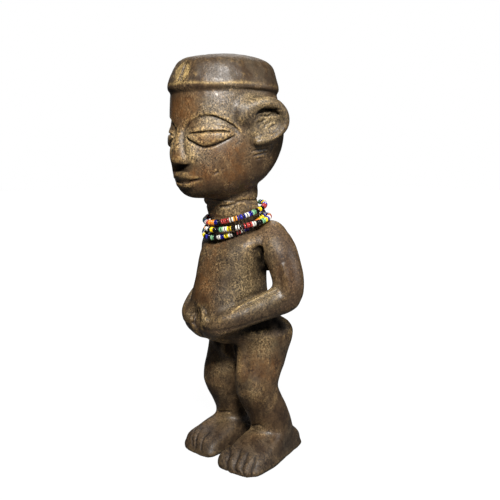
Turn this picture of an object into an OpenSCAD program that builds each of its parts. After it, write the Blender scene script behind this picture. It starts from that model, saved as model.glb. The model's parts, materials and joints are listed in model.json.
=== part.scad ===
// Standing carved wooden doll with three strands of glass beads at the neck.
// Millimetres. The doll faces -Y, its left side is +X, +Z is up and the
// flat soles of the feet stand on z = 0.

/* [Overall] */
// Height of the doll from the soles to the top of the cap
figure_h = 250; // [150:5:350]
// Segments round the large masses (head, cap, trunk)
round_big = 38; // [32:2:44]
// Segments round the limbs
round_limb = 20; // [16:2:24]

/* [Head] */
// Overhang of the cap rim over the brow
rim_out = 2.2; // [1:0.1:3]
// Height of the cap rim above the ground
rim_z = 226; // [224:0.5:228]
// Length of the ears
ear_len = 28; // [24:0.5:31]

/* [Body] */
// Outward angle of the feet
splay = 11; // [6:0.5:14]
// Depth sawn off under the feet to make them flat
sole_cut = 1; // [0.5:0.1:2]

/* [Beads] */
// Diameter of a bead
bead_d = 3.3; // [2.8:0.1:3.3]
// Length of a bead along its thread
bead_len = 2.2; // [1.8:0.1:2.2]
// Diameter of the hole through a bead
bead_bore = 1.1; // [0.9:0.05:1.2]
// Diameter of the thread
thread_d = 0.6; // [0.4:0.05:0.7]
// Beads on one strand
bead_count = 46; // [30:1:46]
// Bare thread beside the knot, in degrees of the loop
slack = 22; // [18:1:30]

/* [Hidden] */
k = figure_h / 250;
y0 = 3.9;

WOOD = [0.27, 0.18, 0.11];
BEAD = [["white", [0.93, 0.91, 0.85]], ["yellow", [0.92, 0.84, 0.16]], ["red", [0.80, 0.24, 0.20]],
  ["blue", [0.10, 0.13, 0.52]], ["green", [0.45, 0.68, 0.48]], ["black", [0.05, 0.05, 0.05]],
  ["orange", [0.90, 0.58, 0.22]]];

// ---- curves and skins ----------------------------------------------------
function cr(a, b, c, d, t) = b + (c - a) * t / 2 + (2 * a - 5 * b + 4 * c - d) * t * t / 2
  + (3 * b - a - 3 * c + d) * t * t * t / 2;
function along(s, t) = let (n = len(s) - 1, i = min(floor(t), n - 1))
  cr(s[max(i - 1, 0)], s[i], s[i + 1], s[min(i + 2, n)], t - i);
function pw(v, e) = v < 0 ? -pow(-v, e) : pow(v, e);
function unit(v) = v / norm(v);
function middle(r) = let (n = len(r)) [for (q = [0:2]) [for (p = r) p[q]] * [for (i = [1:n]) 1 / n]];

// closed skin over a list of equal rings
module skin(rings) {
  n = len(rings);
  m = len(rings[0]);
  pts = concat([for (r = rings, p = r) p], [middle(rings[0]), middle(rings[n - 1])]);
  quads = [for (i = [0:n - 2], j = [0:m - 1]) [i * m + j, (i + 1) * m + j, (i + 1) * m + (j + 1) % m, i * m + (j + 1) % m]];
  polyhedron(pts, concat(
    [for (q = quads) [q[0], q[1], q[2]]], [for (q = quads) [q[0], q[2], q[3]]],
    [for (j = [0:m - 1]) [n * m, j, (j + 1) % m]],
    [for (j = [0:m - 1]) [n * m + 1, (n - 1) * m + (j + 1) % m, (n - 1) * m + j]]));
}

// level slices: [z, centre y, half width, half depth, squareness, rise towards the back]
function slice(s, m) = [for (j = [0:m - 1]) let (a = 360 * j / m, e = 2 / s[4], y = s[3] * pw(sin(a), e))
  [s[2] * pw(cos(a), e), s[1] + y, s[0] + s[5] * y]];
module stack(st, rows, m) {
  skin([for (i = [0:rows]) slice(along(st, (len(st) - 1) * i / rows), m)]);
}

// limbs: [x, y, z, half width across, half depth]
function hoop(s, d, m) = let (t = unit(d), a = unit([1, 0, 0] - t[0] * t), b = cross(t, a))
  [for (j = [0:m - 1]) let (w = 360 * j / m)
    [s[0], s[1], s[2]] + s[3] * pw(cos(w), 0.86) * a + s[4] * pw(sin(w), 0.86) * b];
function xyz(s) = [s[0], s[1], s[2]];
module limb(st, rows, m) {
  n = len(st) - 1;
  skin(concat(
    [for (q = [-80, -50, -25]) let (s = along(st, 0), d = unit(xyz(along(st, 0.05)) - xyz(s)), r = min(s[3], s[4]))
      hoop(concat(xyz(s) + d * r * sin(q), [s[3] * cos(q), s[4] * cos(q)]), d, m)],
    [for (i = [0:rows]) let (t = n * i / rows) hoop(along(st, t), xyz(along(st, min(t + 0.05, n))) - xyz(along(st, max(t - 0.05, 0))), m)],
    [for (q = [25, 50, 80]) let (s = along(st, n), d = unit(xyz(s) - xyz(along(st, n - 0.05))), r = min(s[3], s[4]))
      hoop(concat(xyz(s) + d * r * sin(q), [s[3] * cos(q), s[4] * cos(q)]), d, m)]));
}
module pair() { children(); mirror([1, 0, 0]) children(); }
module egg(c, r, turn = [0, 0, 0], n = 24) { translate(c) rotate(turn) scale(r) sphere(r = 1, $fn = n); }

// ---- the block of wood ----------------------------------------------------
module head() {
  stack([[165.5, -15, 5, 6, 2, 0.12], [167, -13.5, 14, 17, 2, 0.12], [171, -11, 20.5, 25.5, 2.1, 0.12], [177, -9, 25.5, 30.8, 2.1, 0.1],
    [185, -7.2, 28.5, 34, 2.15, 0.06], [195, -5.8, 30.5, 35.6, 2.15, 0], [205, -5.4, 31, 36, 2.15, 0], [214, -6.2, 30.5, 35.4, 2.15, 0],
    [222, -8, 29.6, 33.4, 2.1, 0], [230, -8.4, 28.4, 32, 2, 0]], 15, round_big);
}
module cap() {
  stack([[rim_z - 2.5, -8.4, 26.5, 30, 2, 0], [rim_z - 0.3, -8.4, 27.4 + rim_out, 31 + rim_out, 2, 0], [rim_z + 1, -8.4, 28.6 + rim_out, 32.2 + rim_out, 2, 0],
    [rim_z + 4, -8.4, 28.6 + rim_out, 32.2 + rim_out, 2, 0], [rim_z + 10, -8.4, 29, 32.6, 2, 0], [rim_z + 15, -8.4, 27.2, 30.8, 2, 0],
    [rim_z + 19, -8.4, 23.5, 26.8, 2, 0], [rim_z + 22.3, -8.4, 14, 16, 2, 0], [249.9, -8.4, 2, 2, 2, 0]], 16, round_big);
}
module ear() {
  translate([34.4, -5, 208.5]) rotate([0, 0, -20]) difference() {
    union() {
      egg([0.6, 0, 0], [3.8, 12.6, ear_len / 2], [-14, -6, 0]);
      egg([-4.4, -2, -1], [5, 9, 11], [0, 0, 0], 16);
    }
    egg([4.8, -1, 0], [4.4, 8.6, ear_len / 2 - 4.5], [-14, -6, 0], 18);
  }
}
module nose() {
  skin([for (s = [[207, -40.2, 2.6, 1.6], [200, -41, 3, 2.6], [193, -41.8, 4.2, 3.8], [187, -41.8, 6.4, 4.6], [184, -41, 6.4, 4], [182, -39.5, 4, 2.6]])
    [for (j = [0:15]) [s[2] * cos(-22.5 * j), s[1] + s[3] * sin(-22.5 * j), s[0]]]]);
}
module lips() {
  egg([0, -37.6, 177.8], [12, 5, 2.6], [6, 0, 0], 16);
  egg([0, -36.4, 173], [10.5, 5, 2.4], [-6, 0, 0], 16);
}
module neck() {
  stack([[136, 3, 21, 15.5, 2, 0.14], [142.5, 2, 16.4, 15, 2, 0.14], [148, 0.8, 15.1, 14.9, 2, 0.14], [157.8, -0.6, 15, 15, 2, 0.14], [161.6, -1.2, 14.4, 14.6, 2, 0.14],
    [164.2, -1.6, 15.8, 15.8, 2, 0.14], [169, -2.4, 15.8, 16, 2, 0.14], [175, -3.5, 14, 14, 2, 0.14]], 12, 32);
}
module trunk() {
  stack([[58, 11, 7, 7, 2, 0], [62, 11.5, 17, 15, 2.1, 0], [69, 12.5, 25, 22, 2.2, 0], [77, 11, 27.6, 25.6, 2.2, 0], [83, 4.5, 25.4, 26.5, 2.3, 0],
    [90, -1.6, 22.6, 26, 2.4, 0], [98, -4, 21, 25.4, 2.5, 0], [107, -4.2, 20, 22.8, 2.6, 0], [117, -2.8, 20, 20.4, 2.6, 0.05], [127, -0.8, 21.6, 18.6, 2.6, 0.1],
    [135, 1.4, 24, 17.6, 2.6, 0.15], [140.5, 3, 24.6, 16, 2.5, 0.2], [144, 4, 21, 14.4, 2.4, 0.22], [146.5, 4.5, 15, 12, 2.2, 0.22]], 20, round_big);
}
module arm() {
  limb([[19.5, 9.6, 138.6, 8.6, 9.4], [27.6, 9.6, 134.6, 9.8, 10.8], [32.6, 11, 124.5, 9, 10.4], [34.6, 12.4, 114, 8.6, 9.8], [34.2, 10.8, 106, 8.4, 9],
    [31, 1, 101, 7.6, 8.2], [26.5, -9, 97, 6.6, 7.4], [20, -19, 92.4, 6.2, 7.2], [11.5, -25.2, 88.8, 5.6, 7.8], [5, -27.4, 87, 3.4, 8]], 20, round_limb);
}
module leg(out) {
  limb([[13, 13, 76, 13.6, 19], [13.8 + out, 10.6, 66, 13.8, 17.2], [14.4 + out, 6.6, 56, 13.5, 14], [15.2 + out, 4.2, 46, 13, 13.2], [16 + out, 8.5, 36, 11.7, 12.4],
    [17, 13.6, 26, 11.6, 12.6], [17.5, 16, 17, 11.6, 13.4], [17.5, 16.5, 13, 11.6, 13.4]], 16, round_limb);
}
module foot(turn, slip, inward) {
  translate([17.5 - inward, 14 + slip, 0]) rotate([0, 0, turn])
    skin([for (s = [[23.5, 5, 7, 0], [21.5, 9.2, 11.5, 0], [15, 11.6, 16, 0], [8, 12.2, 20, 0], [0, 12.4, 21, 0], [-8, 13, 19, 0.4], [-16, 13.8, 16, 0.8],
      [-23, 14.3, 13, 1], [-29, 14.4, 11, 1], [-33, 13.8, 9, 0.6], [-35.5, 11, 6.5, 0], [-36.5, 6, 4, 0]])
      [for (j = [0:19]) let (a = 18 * j) [s[3] + s[1] * pw(cos(a), 0.72), s[0], (s[2] - sole_cut) / 2 + (s[2] + sole_cut) / 2 * pw(sin(a), 0.72)]]]);
}
module carved_figure() {
  color(WOOD) scale(k) translate([0, y0, 0]) difference() {
    resize([0, 0, 250 + sole_cut]) union() {
      head();
      cap();
      pair() ear();
      nose();
      lips();
      neck();
      trunk();
      pair() arm();
      leg(0);
      mirror([1, 0, 0]) leg(1);
      foot(splay, 0.6, 0);
      mirror([1, 0, 0]) foot(splay - 14, 0.8, 1.8);
    }
    translate([-100, -100, -20]) cube([200, 200, 20]);
  }
}

// ---- the strands ------------------------------------------------------------
// [loop radius, centre x, y, z, tip forward, tip sideways]
UPPER = [19.2, 0, 0, 154.8, 17, -4];
MIDDLE = [19.7, 2, 0.6, 148.8, 11, -3];
LOWER = [19.5, -2, 0.6, 148, 24, -2];
// beads from the front of the neck round the left side, the back and the right side
UPPER_RUN = [6, 3, 5, 2, 2, 0, 6, 3, 3, 0, 3, 4, 5, 1, 5, 2, 2, 3, 0, 5, 1, 3, 4, 6, 0, 2, 5, 3, 1, 0, 4, 2, 3, 5, 6, 0, 1, 3, 2, 5, 0, 4, 3, 0, 2, 6];
MIDDLE_RUN = [5, 5, 4, 0, 1, 5, 0, 5, 2, 2, 0, 5, 5, 4, 1, 3, 0, 2, 6, 5, 3, 0, 1, 4, 3, 0, 2, 5, 6, 1, 0, 3, 5, 2, 4, 0, 1, 3, 5, 2, 0, 6, 0, 0, 5, 1];
LOWER_RUN = [4, 5, 0, 3, 1, 0, 5, 2, 0, 3, 5, 0, 2, 6, 1, 1, 3, 0, 3, 2, 5, 4, 0, 6, 2, 5, 3, 0, 4, 1, 5, 2, 0, 3, 6, 1, 5, 0, 2, 4, 3, 0, 1, 5, 3, 5];

function grain(i, s) = let (v = sin(i * 127.1 + s * 311.7) * 437.5) v - floor(v);
module seat(loop) { scale(k) translate([loop[1], y0 + loop[2], loop[3]]) rotate([loop[4], loop[5], 0]) children(); }

module thread(loop) {
  color([0.07, 0.06, 0.05]) seat(loop) {
    rotate_extrude($fn = 96) translate([loop[0], 0]) circle(d = thread_d, $fn = 24);
    rotate([0, 0, 90]) translate([loop[0], 0, 0]) {
      sphere(d = 1.5, $fn = 24);
      translate([0.2, 0.5, 0.2]) sphere(d = 1.2, $fn = 24);
    }
  }
}
module bead(i, s) {
  l = bead_len * (0.84 + 0.16 * grain(i, s)) / 2;
  r = bead_d * (0.9 + 0.1 * grain(i, s + 3)) / 2;
  b = bead_bore / 2;
  c = 0.5;
  rotate([90, 0, 0]) rotate_extrude($fn = 48)
    polygon([[b, -l + 0.2], [b + 0.2, -l], [r - c, -l], [r - c * 0.3, -l + c * 0.3], [r, -l + c], [r, l - c], [r - c * 0.3, l - c * 0.3], [r - c, l], [b + 0.2, l], [b, l - 0.2]]);
}
module beads(loop, run, s, hue) {
  color(BEAD[hue][1]) seat(loop)
    for (i = [0:bead_count - 1]) if (run[i] == hue)
      rotate([0, 0, 90 + slack / 2 + (360 - slack) * (((i + 0.5) / bead_count + 0.5) % 1)]) translate([loop[0], 0, 0]) bead(i, s);
}

module upper_thread() { thread(UPPER); }
module upper_white_beads() { beads(UPPER, UPPER_RUN, 1, 0); }
module upper_yellow_beads() { beads(UPPER, UPPER_RUN, 1, 1); }
module upper_red_beads() { beads(UPPER, UPPER_RUN, 1, 2); }
module upper_blue_beads() { beads(UPPER, UPPER_RUN, 1, 3); }
module upper_green_beads() { beads(UPPER, UPPER_RUN, 1, 4); }
module upper_black_beads() { beads(UPPER, UPPER_RUN, 1, 5); }
module upper_orange_beads() { beads(UPPER, UPPER_RUN, 1, 6); }
module middle_thread() { thread(MIDDLE); }
module middle_white_beads() { beads(MIDDLE, MIDDLE_RUN, 2, 0); }
module middle_yellow_beads() { beads(MIDDLE, MIDDLE_RUN, 2, 1); }
module middle_red_beads() { beads(MIDDLE, MIDDLE_RUN, 2, 2); }
module middle_blue_beads() { beads(MIDDLE, MIDDLE_RUN, 2, 3); }
module middle_green_beads() { beads(MIDDLE, MIDDLE_RUN, 2, 4); }
module middle_black_beads() { beads(MIDDLE, MIDDLE_RUN, 2, 5); }
module middle_orange_beads() { beads(MIDDLE, MIDDLE_RUN, 2, 6); }
module lower_thread() { thread(LOWER); }
module lower_white_beads() { beads(LOWER, LOWER_RUN, 3, 0); }
module lower_yellow_beads() { beads(LOWER, LOWER_RUN, 3, 1); }
module lower_red_beads() { beads(LOWER, LOWER_RUN, 3, 2); }
module lower_blue_beads() { beads(LOWER, LOWER_RUN, 3, 3); }
module lower_green_beads() { beads(LOWER, LOWER_RUN, 3, 4); }
module lower_black_beads() { beads(LOWER, LOWER_RUN, 3, 5); }
module lower_orange_beads() { beads(LOWER, LOWER_RUN, 3, 6); }

carved_figure();
upper_thread();
upper_white_beads();
upper_yellow_beads();
upper_red_beads();
upper_blue_beads();
upper_green_beads();
upper_black_beads();
upper_orange_beads();
middle_thread();
middle_white_beads();
middle_yellow_beads();
middle_red_beads();
middle_blue_beads();
middle_green_beads();
middle_black_beads();
middle_orange_beads();
lower_thread();
lower_white_beads();
lower_yellow_beads();
lower_red_beads();
lower_blue_beads();
lower_green_beads();
lower_black_beads();
lower_orange_beads();
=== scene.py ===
# Carved wooden doll with three strands of small glass beads round the neck.
# The figure is resculpted from its CAD solid as a distance field, cut with carved lines and meshed again.
# Lengths are in millimetres until a mesh is written, and then in metres.
import json
import math

import bpy
import numpy as np
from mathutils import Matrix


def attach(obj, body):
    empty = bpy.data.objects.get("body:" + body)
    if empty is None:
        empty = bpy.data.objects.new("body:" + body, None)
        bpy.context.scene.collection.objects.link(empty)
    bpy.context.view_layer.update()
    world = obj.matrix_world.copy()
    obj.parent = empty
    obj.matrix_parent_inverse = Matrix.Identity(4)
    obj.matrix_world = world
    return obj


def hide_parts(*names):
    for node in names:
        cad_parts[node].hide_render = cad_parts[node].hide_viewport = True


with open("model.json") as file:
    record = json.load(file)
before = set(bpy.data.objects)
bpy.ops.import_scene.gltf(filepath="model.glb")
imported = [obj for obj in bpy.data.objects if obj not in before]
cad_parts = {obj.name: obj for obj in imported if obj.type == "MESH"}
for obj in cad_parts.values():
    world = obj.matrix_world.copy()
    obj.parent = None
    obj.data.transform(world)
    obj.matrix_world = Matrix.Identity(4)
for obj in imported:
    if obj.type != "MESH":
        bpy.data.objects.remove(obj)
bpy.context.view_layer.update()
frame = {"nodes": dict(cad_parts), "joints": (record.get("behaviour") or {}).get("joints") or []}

import openvdb as vdb
from mathutils import Matrix, Vector
from mathutils.bvhtree import BVHTree

scene = bpy.context.scene

# ------------------------------------------------------------------ camera
AZ, DIP, FOCAL = math.radians(48), math.radians(7.33), 678.0
EYE = Vector((318.34, -270.22, 185.0))
RIGHT = Vector((math.cos(AZ), math.sin(AZ), 0))
AHEAD = Vector((-math.sin(AZ) * math.cos(DIP), math.cos(AZ) * math.cos(DIP), -math.sin(DIP)))
UP = RIGHT.cross(AHEAD)
camera_data = bpy.data.cameras.new("photo_camera")
camera_data.sensor_width = 36.0
camera_data.lens = FOCAL / 500 * 36.0
camera_data.clip_start = 0.01
camera_data.clip_end = 50
camera = bpy.data.objects.new("photo_camera", camera_data)
scene.collection.objects.link(camera)
camera.matrix_world = Matrix.Translation(EYE / 1000) @ Matrix(
    (
        (RIGHT.x, UP.x, -AHEAD.x),
        (RIGHT.y, UP.y, -AHEAD.y),
        (RIGHT.z, UP.z, -AHEAD.z),
    )
).to_4x4()
scene.camera = camera


# ------------------------------------------------------------------ small helpers
def smooth(a, b, x):
    t = np.clip((x - a) / (b - a), 0, 1)
    return t * t * (3 - 2 * t)


def gauss(a, sigma):
    """Separable Gaussian blur of a dense array, sigma in voxels."""
    r = max(1, int(3 * sigma + 0.5))
    k = np.exp(-0.5 * (np.arange(-r, r + 1) / sigma) ** 2)
    k = (k / k.sum()).astype(np.float32)
    for axis in range(3):
        p = np.pad(a, [(r, r) if i == axis else (0, 0) for i in range(3)], mode="edge")
        n, out = a.shape[axis], np.zeros_like(a)
        for i, w in enumerate(k):
            cut = [slice(None)] * 3
            cut[axis] = slice(i, i + n)
            out += w * p[tuple(cut)]
        a = out
    return a


def widen(a, shape, ratio):
    """Linear resampling of a coarse array onto a finer grid with the same origin."""
    for axis in range(3):
        pos = np.clip(np.arange(shape[axis]) * ratio, 0, a.shape[axis] - 1.001)
        i = pos.astype(int)
        t = (pos - i).astype(np.float32)
        t = t.reshape([-1 if k == axis else 1 for k in range(3)])
        a = np.take(a, i, axis) * (1 - t) + np.take(a, i + 1, axis) * t
    return a


def sample(a, p):
    """Trilinear values of a dense array at index positions p."""
    p = np.clip(p, 0, np.array(a.shape) - 1.001)
    i = p.astype(int)
    t = p - i
    out = np.zeros(len(p))
    for dx in (0, 1):
        for dy in (0, 1):
            for dz in (0, 1):
                w = (
                    (t[:, 0] if dx else 1 - t[:, 0])
                    * (t[:, 1] if dy else 1 - t[:, 1])
                    * (t[:, 2] if dz else 1 - t[:, 2])
                )
                out += w * a[i[:, 0] + dx, i[:, 1] + dy, i[:, 2] + dz]
    return out


def lump(x, y, z, size, seed):
    """Smooth value noise from -1 to 1; size in millimetres, one number or one for each axis."""
    s = size if isinstance(size, tuple) else (size, size, size)
    table = np.random.default_rng(seed).uniform(-1, 1, (32, 32, 32)).astype(np.float32)
    out = 0
    q = [np.asarray(v, np.float32) / k + 100 for v, k in zip((x, y, z), s)]
    i = [np.floor(v).astype(np.int32) for v in q]
    t = [v - k for v, k in zip(q, i)]
    t = [v * v * (3 - 2 * v) for v in t]
    for dx in (0, 1):
        for dy in (0, 1):
            for dz in (0, 1):
                w = (
                    (t[0] if dx else 1 - t[0])
                    * (t[1] if dy else 1 - t[1])
                    * (t[2] if dz else 1 - t[2])
                )
                out = out + w * table[(i[0] + dx) % 32, (i[1] + dy) % 32, (i[2] + dz) % 32]
    return out


# ------------------------------------------------------------------ the CAD figure as a distance field
figure_node = frame["nodes"]["carved_figure"]
figure_node.data.calc_loop_triangles()
n_tri = len(figure_node.data.loop_triangles)
cad_tri = np.zeros(n_tri * 3, np.int32)
figure_node.data.loop_triangles.foreach_get("vertices", cad_tri)
cad_tri = cad_tri.reshape(-1, 3)
cad_pts = np.zeros(len(figure_node.data.vertices) * 3)
figure_node.data.vertices.foreach_get("co", cad_pts)
cad_pts = cad_pts.reshape(-1, 3) * 1000
skin = BVHTree.FromPolygons([Vector(p) for p in cad_pts], [tuple(t) for t in cad_tri])

VOX = 0.5
LOW = np.array([-47.0, -46.5, -3.0])
SPAN = np.array([94.0, 93.0, 256.0])
SHAPE = tuple(int(v) for v in np.ceil(SPAN / VOX))


def field(step, band):
    shape = tuple(int(v) for v in np.ceil(SPAN / step))
    grid = vdb.FloatGrid.createLevelSetFromPolygons(
        ((cad_pts - LOW) / step).astype(np.float32),
        triangles=cad_tri.astype(np.uint32),
        halfWidth=band,
    )
    a = np.zeros(shape, np.float32)
    grid.copyToArray(a, ijk=(0, 0, 0))
    return a * np.float32(step)


fine = gauss(field(VOX, 4.5 / VOX), 0.7 / VOX)
coarse_raw = field(1.0, 11)
soft = widen(gauss(coarse_raw, 1.8), SHAPE, VOX)
mid = gauss(fine, 1.2 / VOX)

# how soft each part of the carving is: 0 keeps the tool edge, 1 is rubbed round
xs = (LOW[0] + np.arange(SHAPE[0]) * VOX).astype(np.float32)[:, None, None]
ys = (LOW[1] + np.arange(SHAPE[1]) * VOX).astype(np.float32)[None, :, None]
zs = (LOW[2] + np.arange(SHAPE[2]) * VOX).astype(np.float32)[None, None, :]
rim = smooth(220, 224, zs) * (1 - smooth(231, 236, zs))
ear = smooth(28.5, 31, np.abs(xs)) * smooth(190, 194, zs) * (1 - smooth(223, 226, zs))
face = (
    (1 - smooth(9, 14, np.abs(xs)))
    * smooth(179, 182, zs)
    * (1 - smooth(205, 209, zs))
    * (1 - smooth(-30, -26, ys))
)
sole = 1 - smooth(2, 5, zs)
neck = smooth(150, 155, zs) * (1 - smooth(163, 167, zs))
crisp = np.maximum(np.maximum(np.maximum(rim + 0 * xs, ear), face), sole)
half = np.clip(neck, 0, 1)
sdf = soft * (1 - crisp) + fine * crisp
sdf = sdf * (1 - half) + mid * half
del fine, soft, mid, crisp, half, rim, ear, face, sole, neck


# ------------------------------------------------------------------ the strands' loops
joints = {j["name"]: j for j in frame["joints"]}


def ring_frame(strand):
    """Centre, axis, and two directions in the plane of a strand's loop, in millimetres."""
    j = joints[strand + "_strand_turn"]
    centre = Vector(j["pos_m"]) * 1000
    axis = Vector(j["axis"]).normalized()
    front = Vector((0, -1, 0))
    front = (front - axis * front.dot(axis)).normalized()
    left = axis.cross(front).normalized()
    return centre, axis, front, left


def node_points(name):
    me = frame["nodes"][name].data
    p = np.zeros(len(me.vertices) * 3)
    me.vertices.foreach_get("co", p)
    return p.reshape(-1, 3) * 1000


# ------------------------------------------------------------------ large chisel work
def merge(a, b, k):
    """The nearer of two distances, rounded over k millimetres where they meet."""
    h = np.maximum(k - np.abs(a - b), 0) / k
    return np.minimum(a, b) - h * h * k / 4


def egg(c, r, turn=0.0):
    ca, sa = math.cos(math.radians(turn)), math.sin(math.radians(turn))

    def f(x, y, z):
        dx, dy, dz = x - c[0], y - c[1], z - c[2]
        u, v = dx * ca + dy * sa, dy * ca - dx * sa
        k0 = np.sqrt((u / r[0]) ** 2 + (v / r[1]) ** 2 + (dz / r[2]) ** 2)
        k1 = np.sqrt((u / r[0] ** 2) ** 2 + (v / r[1] ** 2) ** 2 + (dz / r[2] ** 2) ** 2) + 1e-6
        return k0 * (k0 - 1) / k1

    wide = max(r[0], r[1])
    return np.array(c) - (wide, wide, r[2]), np.array(c) + (wide, wide, r[2]), f


def rod(points, n=5):
    """A bent rod through points (x, y, z, radius)."""
    q = np.array(points, float)
    if len(q) > 2:
        fine_q = []
        for i in range(len(q) - 1):
            a, b, c, d = (q[min(max(i + j, 0), len(q) - 1)] for j in (-1, 0, 1, 2))
            for t in np.arange(n) / n:
                fine_q.append(b + (c - a) * t / 2 + (2 * a - 5 * b + 4 * c - d) * t * t / 2 + (3 * b - a - 3 * c + d) * t**3 / 2)
        q = np.array(fine_q + [q[-1]])

    def f(x, y, z):
        out = None
        for a, b in zip(q[:-1], q[1:]):
            e = b[:3] - a[:3]
            t = np.clip(((x - a[0]) * e[0] + (y - a[1]) * e[1] + (z - a[2]) * e[2]) / max(1e-9, e @ e), 0, 1)
            d = np.sqrt((x - a[0] - t * e[0]) ** 2 + (y - a[1] - t * e[1]) ** 2 + (z - a[2] - t * e[2]) ** 2) - (a[3] + t * (b[3] - a[3]))
            out = d if out is None else np.minimum(out, d)
        return out

    return (q[:, :3] - q[:, 3:]).min(0), (q[:, :3] + q[:, 3:]).max(0), f


def slab(lo, hi, r):
    """A box with edges rounded by r."""
    m, h = (np.array(lo) + hi) / 2, (np.array(hi, float) - lo) / 2 - r

    def f(x, y, z):
        a, b, c = np.abs(x - m[0]) - h[0], np.abs(y - m[1]) - h[1], np.abs(z - m[2]) - h[2]
        out = np.sqrt(np.maximum(a, 0) ** 2 + np.maximum(b, 0) ** 2 + np.maximum(c, 0) ** 2)
        return out + np.minimum(np.maximum(a, np.maximum(b, c)), 0) - r

    return np.array(lo, float), np.array(hi, float), f


def chisel(shape, k, add=False, mirror=True):
    """Cuts a shape out of the wood, or with add leaves it standing, on both sides unless mirror is off."""
    lo, hi, f = shape
    for s in (1, -1) if mirror else (1,):
        a, b = np.array(lo) - k - 4, np.array(hi) + k + 4
        if s < 0:
            a[0], b[0] = -b[0], -a[0]
        a = np.maximum(0, np.floor((a - LOW) / VOX).astype(int))
        b = np.minimum(SHAPE, np.ceil((b - LOW) / VOX).astype(int) + 1)
        cut = tuple(slice(i, j) for i, j in zip(a, b))
        d = f(s * xs[cut[0]], ys[:, cut[1]], zs[:, :, cut[2]]).astype(np.float32)
        sdf[cut] = merge(sdf[cut], d, k) if add else -merge(-sdf[cut], d, k)


# ears: the plain ones are cut away down to the side of the head, and a rolled rim round an open hollow is left standing
head_w = np.interp(zs, [185, 195, 205, 214, 222, 230], [28.5, 30.5, 31, 30.5, 29.6, 28.4])
head_d = np.interp(zs, [185, 195, 205, 214, 222, 230], [34, 35.6, 36, 35.4, 33.4, 32])
head_y = np.interp(zs, [185, 195, 205, 214, 222, 230], [-3.3, -1.9, -1.5, -2.3, -4.1, -4.5])
zone = slice(int((188 - LOW[2]) / VOX), int((228 - LOW[2]) / VOX))
hz = zs[:, :, zone]
d = ((np.abs(xs) / head_w[:, :, zone]) ** 2.15 + (np.abs(ys - head_y[:, :, zone]) / head_d[:, :, zone]) ** 2.15) ** (1 / 2.15)
d = (d - 1) * head_w[:, :, zone]
w = smooth(191, 195, hz) * (1 - smooth(222, 226, hz)) * smooth(22, 26, np.abs(xs)) * smooth(-23, -17, ys) * (1 - smooth(16, 21, ys))
sdf[:, :, zone] = sdf[:, :, zone] * (1 - w) + np.maximum(sdf[:, :, zone], d) * w
# cap: its rolled edge is thin at the sides and back and comes lower on the brow
zone = slice(int((217 - LOW[2]) / VOX), int((230 - LOW[2]) / VOX))
hz = zs[:, :, zone]
d = ((np.abs(xs) / head_w[:, :, zone]) ** 2.15 + (np.abs(ys - head_y[:, :, zone]) / head_d[:, :, zone]) ** 2.15) ** (1 / 2.15)
d = (d - 1) * head_w[:, :, zone]
w = smooth(219, 221.5, hz) * (1 - smooth(225.6, 226.8, hz)) * smooth(-31, -22, ys + 0.35 * np.abs(xs))
sdf[:, :, zone] = sdf[:, :, zone] * (1 - w) + np.maximum(sdf[:, :, zone], d) * w
del head_w, head_d, head_y, d, w
chisel(egg((31.4, -0.6, 207.6), (5.8, 11.6, 12.6), -20), 3.0, add=True)
chisel(egg((29.6, -9.5, 213.4), (4.2, 9.0, 7.0), -12), 4.0, add=True)
rim = [
    (28.2, -15.0, 210.0, 2.8), (31.2, -10.4, 215.6, 3.3), (34.8, -3.4, 218.4, 3.5), (37.2, 2.8, 217.2, 3.2), (38.5, 7.0, 213.4, 2.9),
    (38.8, 8.2, 208.4, 2.6), (38.0, 6.4, 203.8, 2.6), (36.0, 1.2, 200.2, 2.6), (33.9, -4.2, 197.5, 2.4), (32.6, -7.0, 196.6, 1.9),
]
chisel(rod(rim), 2.2, add=True)
chisel(egg((38.4, -3.0, 206.8), (5.0, 8.6, 7.6), -20), 3.0)
chisel(rod([(33.2, -8.8, 211.8, 0.7), (34.4, -5.0, 213.6, 1.4), (36.2, 0.4, 213.9, 1.5), (37.4, 4.0, 212.6, 0.9)]), 0.7)

# nose: flat below, with the shadow of a straight cut
chisel(slab((-9.5, -50, 179.8), (9.5, -36.2, 184.3), 0.5), 0.7, mirror=False)
# lips
chisel(rod([(-11, -31.6, 176.6, 0.9), (-6, -35.2, 177.2, 1.7), (0, -36.8, 177.4, 2.0), (6, -35.2, 177.2, 1.7), (11, -31.6, 176.6, 0.9)]), 1.4, add=True, mirror=False)
chisel(rod([(-9.5, -31.4, 173.8, 0.8), (-5, -34.2, 172.8, 1.6), (0, -35.4, 172.6, 1.8), (5, -34.2, 172.8, 1.6), (9.5, -31.4, 173.8, 0.8)]), 1.4, add=True, mirror=False)
# thumbs: side by side on the belly
chisel(rod([(0.9, -24.2, 99.8, 0.8), (3.0, -25.0, 97.2, 1.4), (6.6, -26.2, 94.8, 1.6), (9.6, -26.6, 92.6, 1.3)]), 2.2, add=True)
# belly: stands over the tops of the legs, which are parted up to it
chisel(slab((-14, -40, 61), (14, -3.2, 75.6), 1.2), 1.6, mirror=False)
chisel(egg((0.8, -5, 64), (5.2, 11, 15), 0), 1.5, mirror=False)
chisel(rod([(13.2, -2.0, 75, 3.0), (13.1, -2.0, 64, 3.1), (13.4, -1.7, 54, 2.9), (14.2, -1.0, 44, 2.0)]), 4.0, add=True, mirror=False)
# armpit, the gap behind the elbow and the hollow below the forearm
chisel(rod([(23.4, -1.6, 134.0, 0.8), (24.6, 2.4, 134.2, 1.8), (24.4, 6.4, 131.0, 2.7), (23.4, 9.4, 126.0, 3.0), (22.8, 11.6, 120.0, 2.8)]), 0.8)
chisel(egg((21.2, 13.6, 125.6), (4.2, 4.0, 5.6)), 4.5, add=True)
chisel(rod([(22.4, -11, 86.2, 1.2), (23.6, -4, 87.0, 2.6), (24.4, 4, 87.6, 3.2), (25.2, 13, 88.2, 3.4), (25.4, 24, 88.2, 3.4)]), 1.0)
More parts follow.
